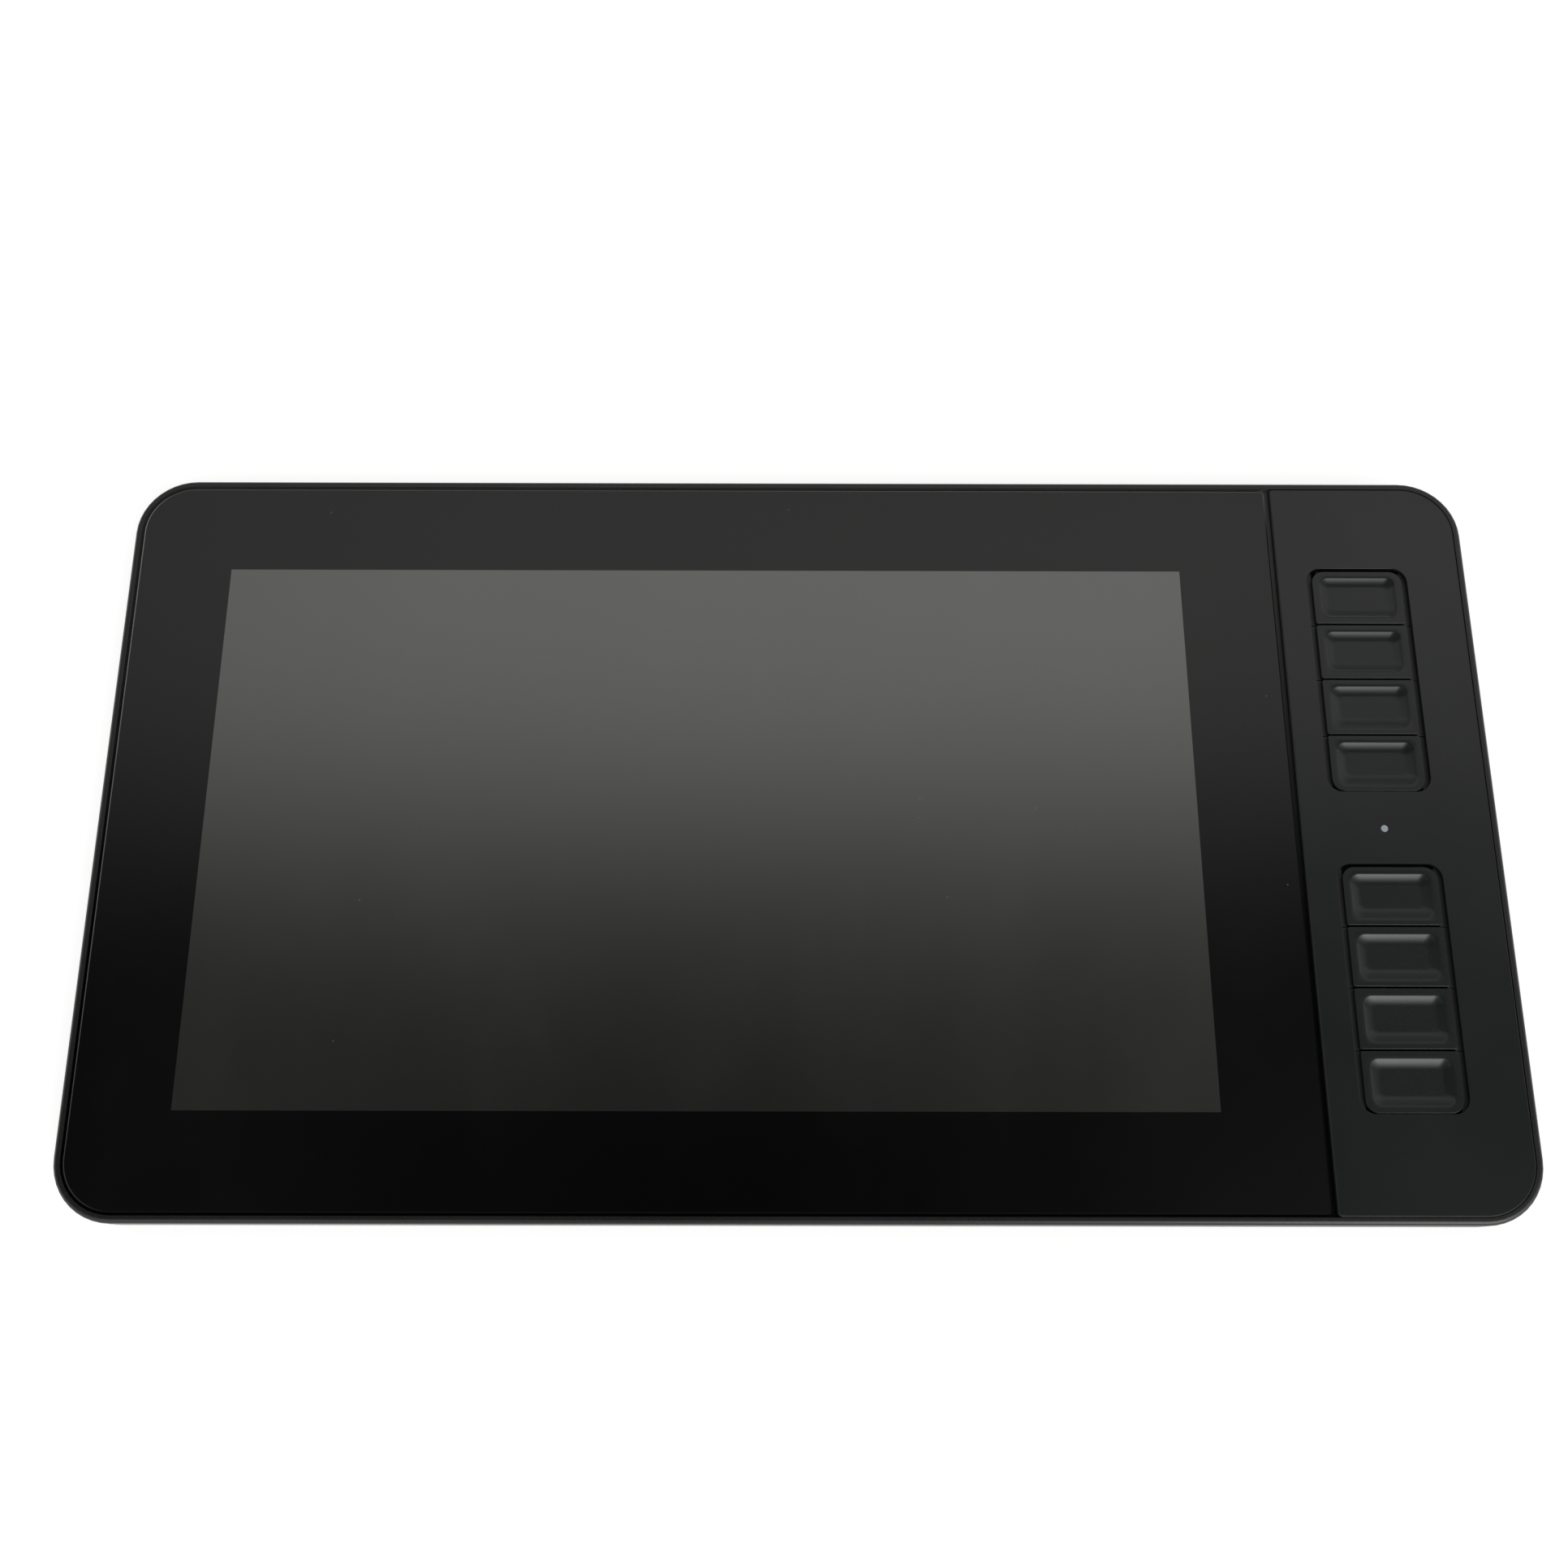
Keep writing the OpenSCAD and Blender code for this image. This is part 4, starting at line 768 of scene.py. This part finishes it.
def stage_material(name, colour, glow):
    """Matte white paper that keeps shadows and, where it is looked at or mirrored, glows up to white.

    It is clear from behind, so that the underside of what stands on it can be looked at.
    """
    s = Shader(name)
    s.set(roughness=0.9, specular=0.0)
    s.paint(s.mix(s.noise(400, 2), colour, tuple(0.985 * c for c in colour[:3]) + (1,)))
    path = s.add("ShaderNodeLightPath").outputs
    mirrored = s.math("MAXIMUM", path["Is Glossy Ray"], path["Is Transmission Ray"])
    seen = s.math("MAXIMUM", path["Is Camera Ray"], mirrored)
    s.surface.inputs["Emission Color"].default_value = (1, 1, 1, 1)
    s.link(s.math("MULTIPLY", seen, glow), s.surface.inputs["Emission Strength"])
    one_sided = s.add("ShaderNodeMixShader")
    s.link(s.add("ShaderNodeNewGeometry").outputs["Backfacing"], one_sided.inputs["Fac"])
    s.link(s.surface.outputs["BSDF"], one_sided.inputs[1])
    s.link(s.add("ShaderNodeBsdfTransparent").outputs["BSDF"], one_sided.inputs[2])
    s.link(one_sided.outputs["Shader"], s.tree.nodes["Material Output"].inputs["Surface"])
    return s.material


def paper_floor():
    """A round sheet of paper whose rim is swept up into a backdrop."""
    b = Builder()
    rings = []
    for r, z in PAPER_RINGS:
        rings.append(b.ring(circle(0, 0, r, PAPER_STEPS), z))
    b.face(rings[0])
    for inner, outer in zip(rings, rings[1:]):
        b.bridge([outer, inner])
    mesh = bpy.data.meshes.new("paper_floor")
    mesh.from_pydata([Vector(p) * MM for p in b.points], [], b.faces)
    mesh.materials.append(stage_material("paper", PAPER_COLOUR, PAPER_GLOW))
    made = bpy.data.objects.new("paper_floor", mesh)
    bpy.context.scene.collection.objects.link(made)


def softbox(name, azimuth, elevation, distance, width, height, radiance):
    """A rectangular lamp that faces the origin from a compass angle where 0 is the far side, in metres.

    It lights a surface but doesn't show in its gloss.
    """
    light = bpy.data.lights.new(name, "AREA")
    light.shape = "RECTANGLE"
    light.size = width
    light.size_y = height
    light.energy = radiance * math.pi * width * height
    a, e = math.radians(azimuth), math.radians(elevation)
    toward = Vector((math.sin(a) * math.cos(e), math.cos(a) * math.cos(e), math.sin(e)))
    lamp = bpy.data.objects.new(name, light)
    lamp.location = toward * distance
    lamp.rotation_euler = toward.to_track_quat("Z", "Y").to_euler()
    lamp.visible_camera = False
    lamp.visible_glossy = False
    bpy.context.scene.collection.objects.link(lamp)


def ramp(tree, value, stops):
    """A grey level that follows stops of position and level."""
    made = tree.nodes.new("ShaderNodeValToRGB")
    elements = made.color_ramp.elements
    while len(elements) < len(stops):
        elements.new(0.5)
    for element, (position, level) in zip(elements, stops):
        element.position = position
        element.color = (level, level, level, 1)
    tree.links.new(value, made.inputs["Fac"])
    return made.outputs["Color"]


def studio_world():
    """A room that is pale on the far side and dark overhead, with a large soft window at the near right.

    The angle runs from the far horizon (0) over the zenith (90 degrees) to the near horizon (180).
    The far wall and the near window follow it, and each is dimmed along X. The side walls follow X alone.
    """
    world = bpy.data.worlds.new("studio")
    world.use_nodes = True
    tree = world.node_tree
    background = tree.nodes["Background"]

    def math_node(operation, a, b, c=0.0):
        made = tree.nodes.new("ShaderNodeMath")
        made.operation = operation
        for socket, value in zip(made.inputs, (a, b, c)):
            if isinstance(value, bpy.types.NodeSocket):
                tree.links.new(value, socket)
            else:
                socket.default_value = value
        return made.outputs["Value"]

    split = tree.nodes.new("ShaderNodeSeparateXYZ")
    tree.links.new(tree.nodes.new("ShaderNodeTexCoord").outputs["Generated"], split.inputs["Vector"])
    angle = math_node("DIVIDE", math_node("ARCTAN2", split.outputs["Z"], split.outputs["Y"]), math.pi)
    across = math_node("MULTIPLY_ADD", split.outputs["X"], 0.5, 0.5)

    def over_angle(*stops):
        return ramp(tree, angle, [(degrees / 180, value) for degrees, value in stops])

    def over_x(*stops):
        return ramp(tree, across, [((x + 1) / 2, value) for x, value in stops])

    far_wall = over_angle((0, 0.28), (25, 0.33), (45, 0.42), (57, 0.6), (63, 0.75), (67, 0.76), (69.5, 0.71),
                          (71.5, 0.57), (73.5, 0.4), (75.3, 0.25), (77, 0.14), (79, 0.07), (82, 0.025),
                          (86, 0.005), (180, 0.005))
    far_ends = over_x((-1, 0.9), (-0.8, 0.55), (-0.6, 0.3), (-0.45, 0.6), (-0.35, 0.85), (-0.2, 0.95),
                      (0, 1.0), (0.25, 1.02), (0.36, 0.96), (0.5, 0.97), (0.7, 0.85), (1, 0.5))
    window = over_angle((80, 0.0), (84, 0.1), (90, 0.17), (97, 0.4), (103, 1.0), (109, 1.9), (115, 3.05),
                        (121, 4.2), (127, 5.3), (133, 5.8), (145, 5.5), (160, 2.5), (180, 0.8))
    window_ends = over_x((-1, 0.12), (-0.5, 0.2), (-0.35, 0.35), (-0.2, 0.15), (-0.05, 0.02), (0.1, 0.08),
                         (0.2, 0.3), (0.27, 0.75), (0.34, 1.0), (0.5, 1.0), (0.7, 0.4), (1, 0.1))
    walls = over_x((-1, 0.4), (-0.85, 0.25), (-0.65, 0.05), (-0.4, 0.005), (0.36, 0.015), (0.5, 0.08),
                   (0.7, 0.25), (1, 0.3))
    level = math_node("MULTIPLY_ADD", far_wall, far_ends, walls)
    level = math_node("MULTIPLY_ADD", window, window_ends, level)
    tree.links.new(level, background.inputs["Strength"])
    background.inputs["Color"].default_value = (0.985, 1.0, 0.965, 1)
    bpy.context.scene.world = world


def photo_camera():
    """The photograph's viewpoint: a square picture, taken from above the near edge."""
    data = bpy.data.cameras.new("photo_camera")
    data.sensor_fit = "HORIZONTAL"
    data.sensor_width = SENSOR_W
    data.lens = SENSOR_W * FOCAL_PIXELS / PHOTO_PIXELS
    data.clip_start = 0.01
    data.clip_end = 50.0
    look = Vector((0.0012, 0.2981, -0.9545)).normalized()
    right = Vector((1.0, 0.0016, 0.0018))
    right = (right - look * right.dot(look)).normalized()
    up = right.cross(look)
    turned = Matrix((right, up, -look)).transposed().to_4x4()
    camera = bpy.data.objects.new("photo_camera", data)
    camera.matrix_world = Matrix.Translation(CAMERA_PLACE * MM) @ turned
    bpy.context.scene.collection.objects.link(camera)
    bpy.context.scene.camera = camera


paper_floor()
softbox("key_light", 135, 45, 1.6, 1.2, 1.2, 0.6)
softbox("soft_fill", 300, 60, 1.5, 1.0, 1.0, 1.6)
studio_world()
photo_camera()
bpy.context.scene.view_settings.view_transform = "Standard"
